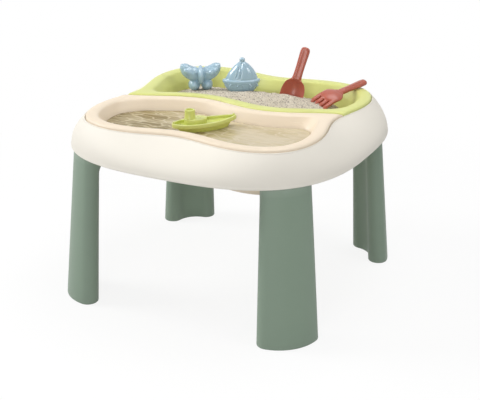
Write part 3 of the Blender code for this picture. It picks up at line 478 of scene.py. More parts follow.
def bean(corner, z, inset, collar=0.0):
    """A leg's outline at a height; collar pushes its inner side towards the table's middle."""
    down = LEG_TOP - z
    half = LEG_HALF_ANGLE + LEG_ANGLE_TAPER * down
    thick = (LEG_THICK + LEG_THIN * down) / 2 - inset
    middle = math.pi / 4
    arc = np.linspace(-half, half, ARC_STEPS + 1)
    cap = np.pi * np.arange(1, CAP_STEPS) / CAP_STEPS
    polar = [(middle + a, thick, middle + a) for a in arc]
    polar += [(middle + half, thick, middle + half + a) for a in cap]
    polar += [(middle + a, -thick, middle + a) for a in arc[::-1]]
    polar += [(middle - half, thick, middle - half - math.pi + a) for a in cap]
    points = []
    for spoke, reach, aim in polar:
        out = np.array([math.cos(aim), math.sin(aim)])
        point = LEG_RADIUS * np.array([math.cos(spoke), math.sin(spoke)]) + reach * out
        inward = max(0.0, -math.copysign(1, reach) * (out[0] + out[1]) / math.sqrt(2))
        point -= collar * inward ** 2 / math.sqrt(2)
        points.append(point)
    points = np.array(points) - LEG_RADIUS * math.sqrt(0.5)
    points += np.array(LEG_AT) + np.array(LEG_LEAN) * down
    return at_height(z, points * np.array(corner))


# %% The stems that go into the legs, joined to the frame
SPIGOT_CLEARANCE, SPIGOT_WALL, STOP_THICK, GAP = 0.0004, 0.003, 0.003, 0.0003
SPIGOT_DEPTH = 0.045


def ceiling(points):
    """Height inside the frame's wall above each point of a stem."""
    angle = np.arctan2(points[:, 1], points[:, 0])
    low = frame_radius(angle) - FRAME_WALL
    high = rim_radius(angle) + TRAY_CLEARANCE + UPSTAND - FRAME_WALL
    lean = np.clip((low - np.hypot(points[:, 0], points[:, 1])) / (low - high), 0, 1)
    share = lean ** (1 / FRAME_SWELL)
    return FRAME_BOTTOM + (LEDGE - FRAME_WALL - FRAME_BOTTOM) * share + FRAME_WALL / 2


stems = []
for name, corner in CORNERS.items():
    outside = LEG_WALL + SPIGOT_CLEARANCE
    shoulder, low = LEG_TOP + GAP, LEG_TOP - SPIGOT_DEPTH
    rings = [bean(corner, low, outside), bean(corner, shoulder, outside),
             bean(corner, shoulder, 2 * GAP), bean(corner, shoulder + STOP_THICK, 2 * GAP),
             bean(corner, shoulder + STOP_THICK, outside)]
    for inset in (outside, outside + SPIGOT_WALL):
        top = bean(corner, shoulder + STOP_THICK, inset)
        top[:, 2] = ceiling(top)
        rings.append(top)
    rings.append(bean(corner, low, outside + SPIGOT_WALL))
    stems.append(skin(f"stem_{name}", rings, ring=True))
finish(joined(apron, stems), CREAM, "table", ["top_frame"])

# %% [markdown]
# ## The legs
# Each leg is a hollow bean-shaped tube that splays outwards, and it widens and thickens a
# little towards its closed foot. Near the top its inner side swells into a collar round the
# stem. All four are the same moulding, so one outline is mirrored into each corner.

# %% The four legs
for name, corner in CORNERS.items():
    rings = [bean(corner, FOOT_ROUND * drop, FOOT_ROUND * draw)
             for draw, drop in quarter(90, 60, 30, 0)]
    rings += [bean(corner, z, 0.0) for z in np.linspace(0.03, LEG_TOP - COLLAR_FROM, 10)]
    for share in np.linspace(0.1, 1.0, 9):
        z = LEG_TOP - COLLAR_FROM + (COLLAR_FROM - COLLAR_TO) * share
        rings.append(bean(corner, z, 0.0, COLLAR * share ** 2 * (3 - 2 * share)))
    rings.append(bean(corner, LEG_TOP, 0.0, COLLAR))
    rings += [bean(corner, z, LEG_WALL)
              for z in (LEG_TOP, LEG_TOP - HOLLOW_FROM, LEG_WALL + FOOT_ROUND)]
    finish(skin(f"hollow_leg_{name}", rings), SAGE, "table", [f"leg_{name}"])

# %% [markdown]
# ## The two trays
# The water tray and the sand tray are the same moulding turned half round: a rolled lip that
# falls into a deep basin. Their outlines meet along an S-shaped seam, where small steps key
# one into the other. A point's depth inside the outline is easy to work out, so each ring is
# found by walking out from the middle of the tray along a ray until the depth is right. The
# rings then run up the outside of the basin, over the lip and down to the floor.

# %% The seam and the depth inside a tray's outline
SEAM_SLOPE, SEAM_WAVE, SEAM_LENGTH, SEAM_GAP = 0.088, 0.0196, 0.367, 0.0012
JOG, JOG_START, JOG_END, JOG_RAMP = 0.003, 0.028, 0.172, 0.008
TRAY_CENTRE = np.array([0.0, -0.125])
TRAY_WALL, CROWN, LIP_WIDTH = 0.003, 0.4362, 0.039
EDGE_CORNER, BASIN_CORNER, TRAY_REACH, HALVINGS = 0.004, 0.044, 0.45, 36
KEY_FADE, KEY_END = 0.009, 0.013


def seam_y(x):
    return SEAM_SLOPE * x - SEAM_WAVE * np.sin(2 * math.pi * x / SEAM_LENGTH)


def seam_jog(x):
    rise = (np.abs(x) - JOG_START) / JOG_RAMP
    fall = (JOG_END - np.abs(x)) / JOG_RAMP
    return -np.sign(x) * JOG * np.clip(np.minimum(rise, fall), 0, 1)


def tray_depth(x, y, inset, corner, key):
    step = 1e-4
    angle = np.arctan2(y, x)
    slope = (rim_radius(angle + step) - rim_radius(angle - step)) / (2 * step)
    outer = (rim_radius(angle) - np.hypot(x, y)) / np.hypot(1, slope / rim_radius(angle)) - inset
    steep = (seam_y(x + step) - seam_y(x - step)) / (2 * step)
    seam = (seam_y(x) + key * seam_jog(x) - y) / np.hypot(1, steep) - inset - SEAM_GAP / 2
    over = np.hypot(np.maximum(corner - outer, 0), np.maximum(corner - seam, 0))
    return -(np.minimum(-corner, np.maximum(-outer, -seam)) + over)


# %% Rays to the tray's outline, close together at its corners and steps
RIM_SCAN = np.linspace(0, 2 * math.pi, 4001)
scan = polar_ring(RIM_SCAN, rim_radius(RIM_SCAN), 0.0)[:, :2]
above = np.sign(scan[:, 1] - seam_y(scan[:, 0]))
sharp = [scan[i] for i in np.nonzero(np.diff(above))[0]]
sharp += [np.array([side * x, seam_y(side * x)]) for side in (-1, 1)
          for x in (JOG_START, JOG_START + JOG_RAMP, JOG_END - JOG_RAMP, JOG_END)]
turns = set(np.round(np.linspace(-math.pi, math.pi, 400, endpoint=False), 5))
for point in sharp:
    aim = math.atan2(*(point - TRAY_CENTRE)[::-1])
    turns |= {round(float(aim + extra), 5) for extra in np.linspace(-0.016, 0.016, 11)}
turns = np.array(sorted(turns))
AIMS = np.column_stack([np.cos(turns), np.sin(turns)])


def tray_ring(inset, z, corner=None, key=None):
    """The tray's outline drawn in by inset, found along every ray by halving."""
    share = min(1.0, inset / LIP_WIDTH)
    corner = EDGE_CORNER + (BASIN_CORNER - EDGE_CORNER) * share if corner is None else corner
    key = min(1.0, max(0.0, (KEY_END - inset) / KEY_FADE)) if key is None else key
    near, far = np.zeros(len(AIMS)), np.full(len(AIMS), TRAY_REACH)
    for _ in range(HALVINGS):
        middle = (near + far) / 2
        at = TRAY_CENTRE + AIMS * middle[:, None]
        inside = tray_depth(at[:, 0], at[:, 1], inset, corner, key) > 0
        near, far = np.where(inside, middle, near), np.where(inside, far, middle)
    return at_height(z, TRAY_CENTRE + AIMS * near[:, None])


print(len(AIMS), "rays to the outline")

# %% The tray's section: lip, basin wall and floor
BASIN_FLOOR, BASIN_LEDGE, BASIN_DRAFT, BASIN_FILLET = 0.3182, 0.002, 0.006, 0.013
WALL_TOP, WALL_STEP = CROWN - 0.028, 0.002
LIP_TOP = [(0.0, 0.0048), (0.001, 0.0026), (0.0034, 0.0009), (0.0100, 0.0), (0.019, 0.0004),
           (0.0255, 0.0015), (0.029, 0.0034), (0.0312, 0.0066), (0.0345, 0.013),
           (0.038, 0.0200), (0.041, 0.0275)]
LIP_UNDER = [(LIP_WIDTH - 0.0028, 0.016), (0.0300, 0.0100), (0.023, 0.006), (0.006, 0.0042),
             (TRAY_WALL, 0.008)]
SKIRT = LEDGE + GAP


def basin_section(offset):
    """The basin's wall, fillet and floor as (inset, height), moved in by offset."""
    high = LIP_WIDTH + BASIN_LEDGE + offset
    low = high + BASIN_DRAFT
    rows = [(high, WALL_TOP + WALL_STEP * (offset < 0))]
    rows += [(high + BASIN_DRAFT * t, WALL_TOP - (WALL_TOP - BASIN_FLOOR - BASIN_FILLET) * t)
             for t in (0.35, 0.7)]
    rows += [(low + BASIN_FILLET * draw, BASIN_FLOOR + BASIN_FILLET * drop + offset * (1 - drop))
             for draw, drop in quarter(*range(0, 91, 10))]
    return rows


outside = basin_section(-TRAY_WALL)[::-1]
under = [(inset, CROWN - drop) for inset, drop in LIP_UNDER] + [(TRAY_WALL, SKIRT)]
over = [(0.0005, SKIRT), (0.0, SKIRT + 0.0006)]
over += [(max(0.0, inset), CROWN - drop) for inset, drop in spline(LIP_TOP, 4)]
section = outside + under + over + basin_section(0.0)[1:]
tray_rings = [tray_ring(inset, z) for inset, z in section]
print(len(section), "rings to a tray")

# %% Skin both trays: the back one is the front one turned half round
HALF_TURN = np.array([-1, -1, 1])
TUCK, TUCK_WIDTH = 0.003, 0.016


def tucked(ring):
    """The water tray's lip dips a little along the seam, below the sand tray's edge."""
    away = eased(seam_y(ring[:, 0]) - ring[:, 1], 0, TUCK_WIDTH)
    share = np.clip((ring[:, 2] - SKIRT) / (CROWN - SKIRT), 0, 1)
    return ring - np.outer(TUCK * (1 - away) * share, (0, 0, 1))


water_tray = skin("water_basin_tray", [tucked(ring) for ring in tray_rings])
finish(water_tray, BEIGE, "water_basin", ["water_tray"])
sand_tray = skin("sand_basin_tray", [ring * HALF_TURN for ring in tray_rings])
finish(sand_tray, LIME, "sand_basin", ["sand_tray"])

# %% [markdown]
# ## The water
# The water lies 27 mm below the crown and is never quite flat: low ripples run across it. It
# is the basin's inside, skinned down the wall to the floor, with a surface of rings that
# close in on the middle and are lifted by layered noise. The water takes the tray's tan; it is
# painted darker and olive towards the left, a painted shade, and its pale streaks and net of
# pale lines are painted caustic highlights where it catches the light.

# %% Rings of what fills a basin
WATER, FILL_GAP, EDGE_GAP, EDGE_DROP = 0.4092, 0.001, 0.0022, 0.004


def filling(height, turn=1):
    """Rings from the floor up the wall, and then over the surface to its middle."""
    wall = [tray_ring(inset, z, BASIN_CORNER, 0.0) for inset, z in basin_section(FILL_GAP)[::-1]]
    level = height(wall[-1][:, 0] * turn, wall[-1][:, 1] * turn)
    kept = [ring for ring in wall if ring[0][2] < level.min() - EDGE_DROP]
    edge = tray_ring(LIP_WIDTH + BASIN_LEDGE + EDGE_GAP, 0.0, BASIN_CORNER, 0.0)
    for share in (1.0, 0.994, 0.985, *np.linspace(0.97, 0.02, 62)):
        ring = edge.copy()
        ring[:, :2] = TRAY_CENTRE + (edge[:, :2] - TRAY_CENTRE) * share
        ring[:, 2] = height(ring[:, 0] * turn, ring[:, 1] * turn, 1 - share)
        kept.append(ring)
    return [ring * np.array([turn, turn, 1]) for ring in kept]


def layered(x, y, scale, seed, layers):
    """Smooth noise at each point, between about -1 and 1."""
    return np.array([noise.fractal(Vector((px * scale, py * scale, seed)), 1.0, 2.0, layers)
                     for px, py in zip(x, y)])


# %% The water's skin
RIPPLE, RIPPLE_SCALE, FINE_SCALE, CALM_EDGE = 0.0011, 17.0, 75.0, 0.3


def ripples(x, y, inward=0.0):
    calm = min(1.0, inward * 12)
    swellings = layered(x + 0.35 * y, y * 1.7 - 0.3 * x, RIPPLE_SCALE, 3.0, 3)
    fine = layered(x, y, FINE_SCALE, 9.0, 2)
    high = RIPPLE * swellings + 0.25 * RIPPLE * fine
    return WATER + (CALM_EDGE + (1 - CALM_EDGE) * calm) * high


water = skin("water_surface", filling(ripples))

# %% The water's look
STREAK_TURN, STREAK_SCALE = math.radians(24), (1.0, 3.2, 1.0)
CAUSTIC_STREAKS, WARP, WARP_SCALE, CAUSTIC_CELLS, CELL_EDGE, LIT = 11.0, 0.06, 14.0, 22.0, 0.10, 0.34
PAINTED_SHADE_LEFT, WAVELETS, WAVELET_BUMP, WAVELET_DEPTH = 1.1, 60.0, 0.35, 0.002
WATER_ROUGHNESS, WATER_IOR, WATER_ALPHA = 0.06, 1.33, 0.86

WATER_LOOK, tree, shader = new_look("still_water")
place = on_object(tree)
drawn = add_node(tree, "Mapping", {"Vector": place, "Scale": STREAK_SCALE,
                                   "Rotation": (0.0, 0.0, STREAK_TURN)}).outputs["Vector"]
warp = add_node(tree, "Mix", {"Factor": WARP, "A": drawn,
                              "B": noise_node(tree, drawn, WARP_SCALE, 2.0, "Color")},
                data_type="VECTOR")
caustic_cells = add_node(tree, "TexVoronoi", {"Scale": CAUSTIC_CELLS, "Vector": warp.outputs["Result"]},
                 feature="DISTANCE_TO_EDGE")
# Pale lines along the cell edges are painted caustic highlights.
lit = map_range(tree, caustic_cells.outputs["Distance"], from_min=CELL_EDGE, from_max=0.0, to_max=LIT)
split = add_node(tree, "SeparateXYZ", {"Vector": place})
# Darker towards the left is painted shade, and the noise streaks are painted caustic highlights.
shade_and_light_at = calc(tree, "ADD", calc(tree, "MULTIPLY", split.outputs["X"], PAINTED_SHADE_LEFT),
               noise_node(tree, drawn, CAUSTIC_STREAKS, 5.0))
# The ramp runs from the painted shade's dark olive, through the water's own tan, to the pale of the
# painted highlights.
tint = ramp_node(tree, calc(tree, "ADD", shade_and_light_at, lit), (0.24, srgb(146, 128, 80)),
                 (0.78, srgb(222, 208, 178)), (0.50, srgb(204, 189, 150)))
wavelets = noise_node(tree, drawn, WAVELETS, 3.0)
fill(tree, shader, {"Roughness": WATER_ROUGHNESS, "IOR": WATER_IOR, "Alpha": WATER_ALPHA,
                    "Base Color": tint,
                    "Normal": bump_node(tree, WAVELET_BUMP, WAVELET_DEPTH, wavelets)})
finish(water, WATER_LOOK, "water_basin", ["water_fill"], angle=60)

# %% [markdown]
# ## The sand
# Damp play sand, grey beige with dark and pale specks. It is heaped in the middle of the
# basin and falls away to both ends, where the lime wall shows. The surface is skinned in the
# same way as the water and roughened with small lumps; single grains come from the finish.

# %% The sand's skin
SAND = 0.4052
MOUND, MOUND_AT, MOUND_SPREAD = 0.0205, (0.060, 0.115), (0.118, 0.052)
DIP_RIGHT, DIP_RIGHT_X = 0.030, (0.165, 0.235)
DIP_LEFT, DIP_LEFT_X = 0.016, (-0.180, -0.235)
DIP_BACK, DIP_BACK_Y = 0.022, (0.185, 0.212)
HEAP, HEAP_AT, HEAP_SPREAD = 0.0055, (0.072, 0.142), (0.020, 0.010)
LUMP, LUMP_SCALE, FINE_LUMP_SCALE = 0.0019, 60.0, 260.0


def dunes(x, y, inward=0.0):
    high = SAND
    for rise, at, spread in ((MOUND, MOUND_AT, MOUND_SPREAD), (HEAP, HEAP_AT, HEAP_SPREAD)):
        dx, dy = (x - at[0]) / spread[0], (y - at[1]) / spread[1]
        high = high + rise * np.exp(-(dx * dx + dy * dy) / 2)
    high -= DIP_RIGHT * eased(x, *DIP_RIGHT_X) + DIP_LEFT * eased(x, *DIP_LEFT_X)
    high -= DIP_BACK * eased(y, *DIP_BACK_Y)
    lumps = layered(x, y, LUMP_SCALE, 5.0, 3) + 0.6 * layered(x, y, FINE_LUMP_SCALE, 8.0, 2)
    return high + LUMP * lumps * (0.4 + 0.6 * min(1.0, inward * 10))


sand = skin("sand_heap", filling(dunes, turn=-1))

# %% The sand's look
GRAINS, CLODS, SAND_BUMP, SAND_BUMP_DEPTH = 420.0, 300.0, 0.8, 0.001

SAND_LOOK, tree, shader = new_look("damp_sand")
place = on_object(tree)
grains = add_node(tree, "TexVoronoi", {"Scale": GRAINS, "Vector": place})
specks = add_node(tree, "SeparateColor", {"Color": grains.outputs["Color"]})
tint = ramp_node(tree, specks.outputs["Red"], (0.0, srgb(98, 90, 82)), (1.0, srgb(228, 220, 206)),
                 (0.09, srgb(146, 137, 127)), (0.14, srgb(196, 186, 168)),
                 (0.80, srgb(208, 199, 182)))
uneven = calc(tree, "SUBTRACT", noise_node(tree, place, CLODS, 4.0), grains.outputs["Distance"])
fill(tree, shader, {"Roughness": 0.95, "Specular IOR Level": 0.2, "Base Color": tint,
                    "Normal": bump_node(tree, SAND_BUMP, SAND_BUMP_DEPTH, uneven)})
finish(sand, SAND_LOOK, "sand_basin", ["sand_fill"], angle=60)

# %% [markdown]
# ## The toy boat
# A hull with a thick rolled gunwale, a pointed bow that rises, and inside it a second moulding:
# a low deck, an oval cabin and a round funnel in one. Both are stacks of outlines, so both are
# skinned: the hull from its keel over the gunwale and down inside, the deck from its edge up
# over the cabin and the funnel. Points are worked out with the bow along +X and then turned to
# the boat's heading on the water.

# %% Where the toys are, and the boat's sizes and outlines
BOAT_AT, BOAT_HEADING = (-0.006, -0.126), 47.6
BUTTERFLY_AT, BUTTERFLY_TURN = (-0.168, 0.154), 33
SAILBOAT_AT, SAILBOAT_TURN = (-0.066, 0.179), 28
SHOVEL_AT, RAKE_AT = (0.081, 0.156), (0.161, 0.128)
BOAT_LENGTH, BOAT_BEAM, BOW_FINENESS, BOAT_SHEER = 0.152, 0.064, 0.45, 0.005
KEEL, GUNWALE = WATER - 0.013, WATER + 0.020
DECK, BOAT_WALL, BOAT_GUNWALE = GUNWALE - 0.0065, 0.0022, 0.005
around = np.linspace(0, 2 * math.pi, 112, endpoint=False)


def turned(degrees, axis):
    return Matrix.Rotation(math.radians(degrees), 4, axis)


def standing(x, y, z, heading):
    """A placement at a point, turned to a heading in degrees."""
    return Matrix.Translation((x, y, z)) @ turned(heading, "Z")


BOAT_PLACE = standing(*BOAT_AT, 0.0, BOAT_HEADING)


def placed(matrix, points):
    """Points carried by a placement matrix."""
    turn = np.array(matrix)
    return np.asarray(points) @ turn[:3, :3].T + turn[:3, 3]


def boat_ring(share, z, grow=0.0, sheer=1.0):
    fine = ((1 + np.cos(around)) / 2) ** 2
    x = (BOAT_LENGTH / 2 + grow) * np.cos(around)
    y = (BOAT_BEAM / 2 + grow) * np.sin(around) * (1 - BOW_FINENESS * fine)
    rise = sheer * BOAT_SHEER * (np.maximum(0.0, x) / (BOAT_LENGTH / 2)) ** 2
    return placed(BOAT_PLACE, np.column_stack([x * share, y * share, z + rise]))


def oval_ring(centre_x, half_x, half_y, z):
    return placed(BOAT_PLACE, at_height(z, centre_x + half_x * np.cos(around),
                                        half_y * np.sin(around)))


# %% The hull
low_hull = spline([(0.48, 0.0, 0.0), (0.565, 0.0007, 0.0), (0.635, 0.0035, 0.0),
                   (0.72, 0.0100, 0.2), (0.795, 0.017, 0.5), (0.86, 0.0225, 0.85)], 4)
rings = [boat_ring(share, KEEL + up, 0.0, sheer) for share, up, sheer in low_hull]
band = [(0.0, -0.0092), (0.0006, -0.0088), (0.001, -0.0078), (0.001, -0.0016),
        (0.0006, -0.0005), (-0.0004, 0.0), (-0.004, 0.0), (-0.0047, -0.0004),
        (-0.005, -0.0012)]
rings += [boat_ring(1.0, GUNWALE + up, grow - 0.001) for grow, up in band]
ledge = DECK - BOAT_WALL
rings += [boat_ring(1.0, ledge, -BOAT_GUNWALE), boat_ring(0.90, ledge, -BOAT_GUNWALE),
          boat_ring(0.84, GUNWALE - 0.016, -BOAT_WALL, 0.8),
          boat_ring(0.68, KEEL + 0.010, -BOAT_WALL, 0.2),
          boat_ring(0.50, KEEL + BOAT_WALL, -BOAT_WALL, 0.0)]
hull = skin("toy_boat_hull", rings)

# %% Two small mooring posts on the gunwale
POST_RADIUS, POST_HEIGHT, POST_SUNK, POST_ROUND = 0.0021, 0.006, 0.0015, 0.001
posts = []
for along, up in ((-0.0725, 0.0), (0.0700, BOAT_SHEER * 0.85)):
    middle = BOAT_PLACE @ Vector((along, 0.0, GUNWALE + up + POST_HEIGHT / 2 - POST_SUNK))
    bpy.ops.mesh.primitive_cylinder_add(vertices=20, radius=POST_RADIUS,
                                        depth=POST_HEIGHT, location=middle)
    posts.append(bpy.context.object)
    bpy.ops.object.transform_apply(location=True, rotation=True, scale=True)
    add_modifier(posts[-1], "BEVEL", width=POST_ROUND, segments=3)
finish(joined(hull, posts), BOAT_LIME, "boat", ["boat_hull"])

# %% The deck, cabin and funnel
CABIN_AT, CABIN_X, CABIN_Y, ROOF = -0.021, 0.026, 0.0185, DECK + 0.015
FUNNEL_AT, FUNNEL_RADIUS, FUNNEL_TOP = -0.034, 0.012, DECK + 0.035
CABIN_FOOT, CABIN_ROUND, FUNNEL_TAPER, FUNNEL_ROUND = 0.003, 0.0028, 0.0004, 0.0014
edge = -BOAT_GUNWALE - GAP
rings = [boat_ring(share, z, edge) for share, z in
         ((0.90, DECK - BOAT_WALL + GAP), (1.0, DECK - BOAT_WALL + GAP), (1.0, DECK),
          (0.96, DECK - 0.0002))]
deck_edge = boat_ring(0.94, DECK, edge)
cabin_foot = oval_ring(CABIN_AT, CABIN_X + CABIN_FOOT, CABIN_Y + CABIN_FOOT, DECK)
for share in np.linspace(0.0, 1.0, 9):
    ring = deck_edge * (1 - share) + cabin_foot * share
    ring[:, 2] -= 0.002 * math.sin(math.pi * min(1.0, share * 1.15)) ** 0.8
    rings.append(ring)
cabin = [(out, DECK + up) for out, up in
         ((0.0012, 0.0005), (0.0004, 0.0016), (0.0, 0.0034), (0.0, 0.0122))]
cabin += [(-CABIN_ROUND * draw, ROOF - CABIN_ROUND * drop)
          for draw, drop in quarter(20, 40, 60, 80, 90)]
rings += [oval_ring(CABIN_AT, CABIN_X + out, CABIN_Y + out, z) for out, z in cabin]
funnel = [(FUNNEL_RADIUS + out, ROOF + up) for out, up in
          ((0.0014, 0.0), (0.0005, 0.0003), (0.0, 0.0014), (-FUNNEL_TAPER, 0.018))]
funnel += [(FUNNEL_RADIUS - FUNNEL_TAPER - FUNNEL_ROUND * draw, FUNNEL_TOP - FUNNEL_ROUND * drop)
           for draw, drop in quarter(30, 60, 90)]
funnel += [(reach, FUNNEL_TOP - drop) for reach, drop in
           ((0.0088, 0.0), (0.0082, 0.0006), (0.0078, 0.003))]
rings += [oval_ring(FUNNEL_AT, reach, reach, z) for reach, z in funnel]
finish(skin("toy_boat_deck", rings), BOAT_LIME, "boat", ["boat_deck"])

# %% [markdown]
# ## The sand moulds
# The butterfly and the sailboat are thin shells with open backs, and their fronts are soft,
# bulging forms that run into each other. Such a form is built from simple bodies, each scaled
# into place, which a Remesh modifier melts into one skin and a Smooth modifier softens. Then
# the back is cut off at a plane and a Solidify modifier gives the shell its wall.

# %% Helpers: eggs, melting and cutting
def egg(at, radii, tilt=0.0, point=0.0):
    """An ellipsoid in a mould's own frame; point pulls its top (+Z) out to a tip."""
    bpy.ops.mesh.primitive_uv_sphere_add(segments=32, ring_count=24, radius=1.0)
    body = bpy.context.object
    for vert in body.data.vertices:
        pull = max(0.0, vert.co.z) ** 2
        vert.co.x *= 1 - point * pull
        vert.co.y *= 1 - point * pull
    body.data.transform(Matrix.Translation(at) @ Matrix.Rotation(tilt, 4, "Y")
                        @ Matrix.Diagonal((*radii, 1.0)))
    return body


def melted(name, bodies, voxel, smooth):
    piece = joined(bodies[0], bodies[1:])
    piece.name = piece.data.name = name
    add_modifier(piece, "REMESH", mode="VOXEL", voxel_size=voxel, use_smooth_shade=True)
    add_modifier(piece, "SMOOTH", factor=0.5, iterations=smooth)
    return piece


def cut(piece, at, normal, fill_hole=False):
    active(piece)
    bpy.ops.object.mode_set(mode="EDIT")
    bpy.ops.mesh.select_all(action="SELECT")
    bpy.ops.mesh.bisect(plane_co=at, plane_no=normal, clear_outer=True, use_fill=fill_hole)
    bpy.ops.object.mode_set(mode="OBJECT")


def opened(piece, back, wall):
    """Cuts off what lies behind the back plane and turns the rest into a shell."""
    cut(piece, (0.0, back, 0.0), (0.0, 1.0, 0.0))
    add_modifier(piece, "SOLIDIFY", thickness=wall, offset=-1.0)
    return piece


# %% The butterfly
MOULD_BACK, MOULD_WALL, MOULD_VOXEL = 0.0007, 0.0018, 0.0009
WING_TILT = math.radians(33)
WING = [((0.0255, 0.0, 0.0455), (0.0278, 0.0205, 0.0172), WING_TILT),
        ((0.037, 0.0, 0.0565), (0.015, 0.0155, 0.0125), 0.30),
        ((0.0452, 0.0, 0.064), (0.005, 0.0100, 0.0048), 0.0),
        ((0.0295, -0.0145, 0.0495), (0.015, 0.0088, 0.0082), WING_TILT),
        ((0.017, 0.0, 0.047), (0.015, 0.019, 0.014), 0.2),
        ((0.016, 0.0, 0.015), (0.015, 0.0208, 0.0158), 0.0),
        ((0.016, -0.014, 0.015), (0.0082, 0.0088, 0.0088), 0.0)]
bodies = [egg((0.0, -0.004, 0.0400), (0.0098, 0.0275, 0.0245), point=0.15)]
for side in (-1, 1):
    bodies += [egg((side * x, y, z), radii, -side * tilt) for (x, y, z), radii, tilt in WING]
butterfly = opened(melted("butterfly_sand_mould", bodies, MOULD_VOXEL, 5), MOULD_BACK, MOULD_WALL)
butterfly.data.transform(standing(*BUTTERFLY_AT, SAND, BUTTERFLY_TURN))
finish(butterfly, BLUE, "butterfly", ["butterfly_mould"], angle=50)

# %% The sailboat: hull, rim, two sails with a mast between them
SAIL_HALF, SAIL_DEPTH, SAIL_HEIGHT = 0.047, 0.027, 0.090
ARC_AT, ARC_HEIGHT, ARC_RADIUS, ARC_THICK = (-0.024, -0.003, 0.018, 0.036), 0.020, 0.0068, 0.0016
hull_rows = [(0.0, 0.44, 0.52, 0.0), (0.02, 0.56, 0.64, 0.0), (0.07, 0.70, 0.76, 0.0),
             (0.18, 0.86, 0.89, 0.0), (0.295, 0.945, 0.945, 0.0)]
rim_rows = [(0.30, 0.965, 0.965, 0.0), (0.312, 0.99, 0.99, 0.0), (0.345, 1.0, 1.0, 0.0),
            (0.38, 0.99, 0.99, 0.0), (0.395, 0.95, 0.95, 0.0)]
sail_rows = [(0.40, 0.86, 0.90, 0.02), (0.48, 0.80, 0.87, 0.03), (0.60, 0.68, 0.78, 0.05),
             (0.72, 0.51, 0.64, 0.06), (0.82, 0.31, 0.44, 0.06), (0.875, 0.165, 0.27, 0.05)]
knob_rows = [(0.895, 0.13, 0.22, 0.05), (0.93, 0.15, 0.25, 0.05), (0.965, 0.135, 0.23, 0.05),
             (0.99, 0.08, 0.13, 0.05), (1.0, 0.02, 0.03, 0.05)]
rings = []
for share, wide, deep, shift in np.vstack([spline(hull_rows, 5), spline(rim_rows, 3),
                                           spline(sail_rows, 5), spline(knob_rows, 3)]):
    rings.append(at_height(share * SAIL_HEIGHT, (shift + wide * np.cos(around)) * SAIL_HALF,
                           deep * SAIL_DEPTH * np.sin(around)))
bodies = [skin("sailboat_form", rings)]
for middle in ARC_AT:
    bpy.ops.mesh.primitive_torus_add(major_radius=ARC_RADIUS, minor_radius=ARC_THICK,
                                     major_segments=36, minor_segments=10,
                                     rotation=(math.pi / 2, 0.0, 0.0))
    wave = bpy.context.object
    reach = math.sqrt(1 - (middle / (0.90 * SAIL_HALF)) ** 2)
    at = Vector((middle, -0.925 * SAIL_DEPTH * reach, ARC_HEIGHT))
    outward = Matrix.Rotation(math.atan2(-at.x * 0.35, -at.y), 4, "Z")
    wave.matrix_world = Matrix.Translation(at) @ outward @ wave.matrix_world
    active(wave)
    bpy.ops.object.transform_apply(location=True, rotation=True, scale=True)
    cut(wave, at, (0.0, 0.0, -1.0), fill_hole=True)
    bodies.append(wave)
sailboat = melted("sailboat_sand_mould", bodies, MOULD_VOXEL, 2)

# %% Grooves beside the mast, pressed into the sails
GROOVES = [((-0.0135, 0.043), (-0.002, 0.074)), ((-0.0045, 0.042), (0.0015, 0.077))]
GROOVE_WIDTH, GROOVE_DEPTH = 0.002, 0.0026
for vert in sailboat.data.vertices:
    if vert.co.y > 0:
        continue
    for (x0, z0), (x1, z1) in GROOVES:
        share = min(1.0, max(0.0, (vert.co.z - z0) / (z1 - z0)))
        off = math.hypot(vert.co.x - (x0 + (x1 - x0) * share),
                         vert.co.z - (z0 + (z1 - z0) * share))
        vert.co.y += GROOVE_DEPTH * math.exp(-(off / GROOVE_WIDTH) ** 2)
opened(sailboat, MOULD_BACK, MOULD_WALL)
sailboat.data.transform(standing(*SAILBOAT_AT, SAND, SAILBOAT_TURN))
finish(sailboat, BLUE, "sailboat", ["sailboat_mould"], angle=50)

# %% [markdown]
# ## The shovel
# The shovel's blade is a shallow scoop that runs up into round shoulders, and the handle is a
# bar with a trough down its front, a raised border and a round end. Across the tool, every
# section has the same number of points, front and back, so blade and handle are one skin.

# %% The shovel's sections
SHOVEL_BLADE, SHOVEL_WIDTH, SHOVEL_SCOOP, TOOL_WALL = 0.069, 0.0585, 0.013, 0.0026
SHOVEL_HANDLE, SHOVEL_GRIP, SHOVEL_THICK = 0.0825, 0.0232, 0.013
SHOVEL_HEADING, SHOVEL_LEAN, SHOVEL_ROLL, SHOVEL_LOW, SHOVEL_SUNK = 22, -14, 16, 0.0142, 0.030
SHOVEL_PLACE = (standing(*SHOVEL_AT, CROWN - SHOVEL_LOW, SHOVEL_HEADING)
                @ turned(SHOVEL_LEAN, "X") @ turned(SHOVEL_ROLL, "Y")
                @ Matrix.Translation((0.0, 0.0, SHOVEL_BLADE - SHOVEL_SUNK)))
SIDE_POINTS = 26
along = np.linspace(-1, 1, SIDE_POINTS)
sweep = np.pi * np.linspace(0.03, 0.97, SIDE_POINTS)


def scoop_ring(z, width, scoop):
    """Bowed to the back (+Y), with its rounded edge a little thicker than its middle."""
    bow = scoop * (1 - along ** 2)
    half = TOOL_WALL / 2 * (1 - 0.75 * np.abs(along) ** 12)
    back = np.column_stack([along * width / 2, bow + half])
    front = np.column_stack([along * (width / 2 - 0.0003), bow - half])[::-1]
    return at_height(z, np.vstack([back, front]))


def grip_ring(z, width, thick, trough):
    """A rounded bar whose front (-Y) has a trough between two borders."""
    shift = SHOVEL_THICK * 0.35
    x = -width / 2 * np.cos(sweep)
    back = np.column_stack([x, shift + thick / 2 * np.sin(sweep) ** 0.8])
    hollow = trough * (0.5 + 0.5 * np.cos(np.pi * np.clip(np.abs(x) / (0.40 * width), 0, 1)))
    front = np.column_stack([x, shift - thick / 2 * np.sin(sweep) ** 0.8 + hollow])[::-1]
    return at_height(z, np.vstack([back, front]))


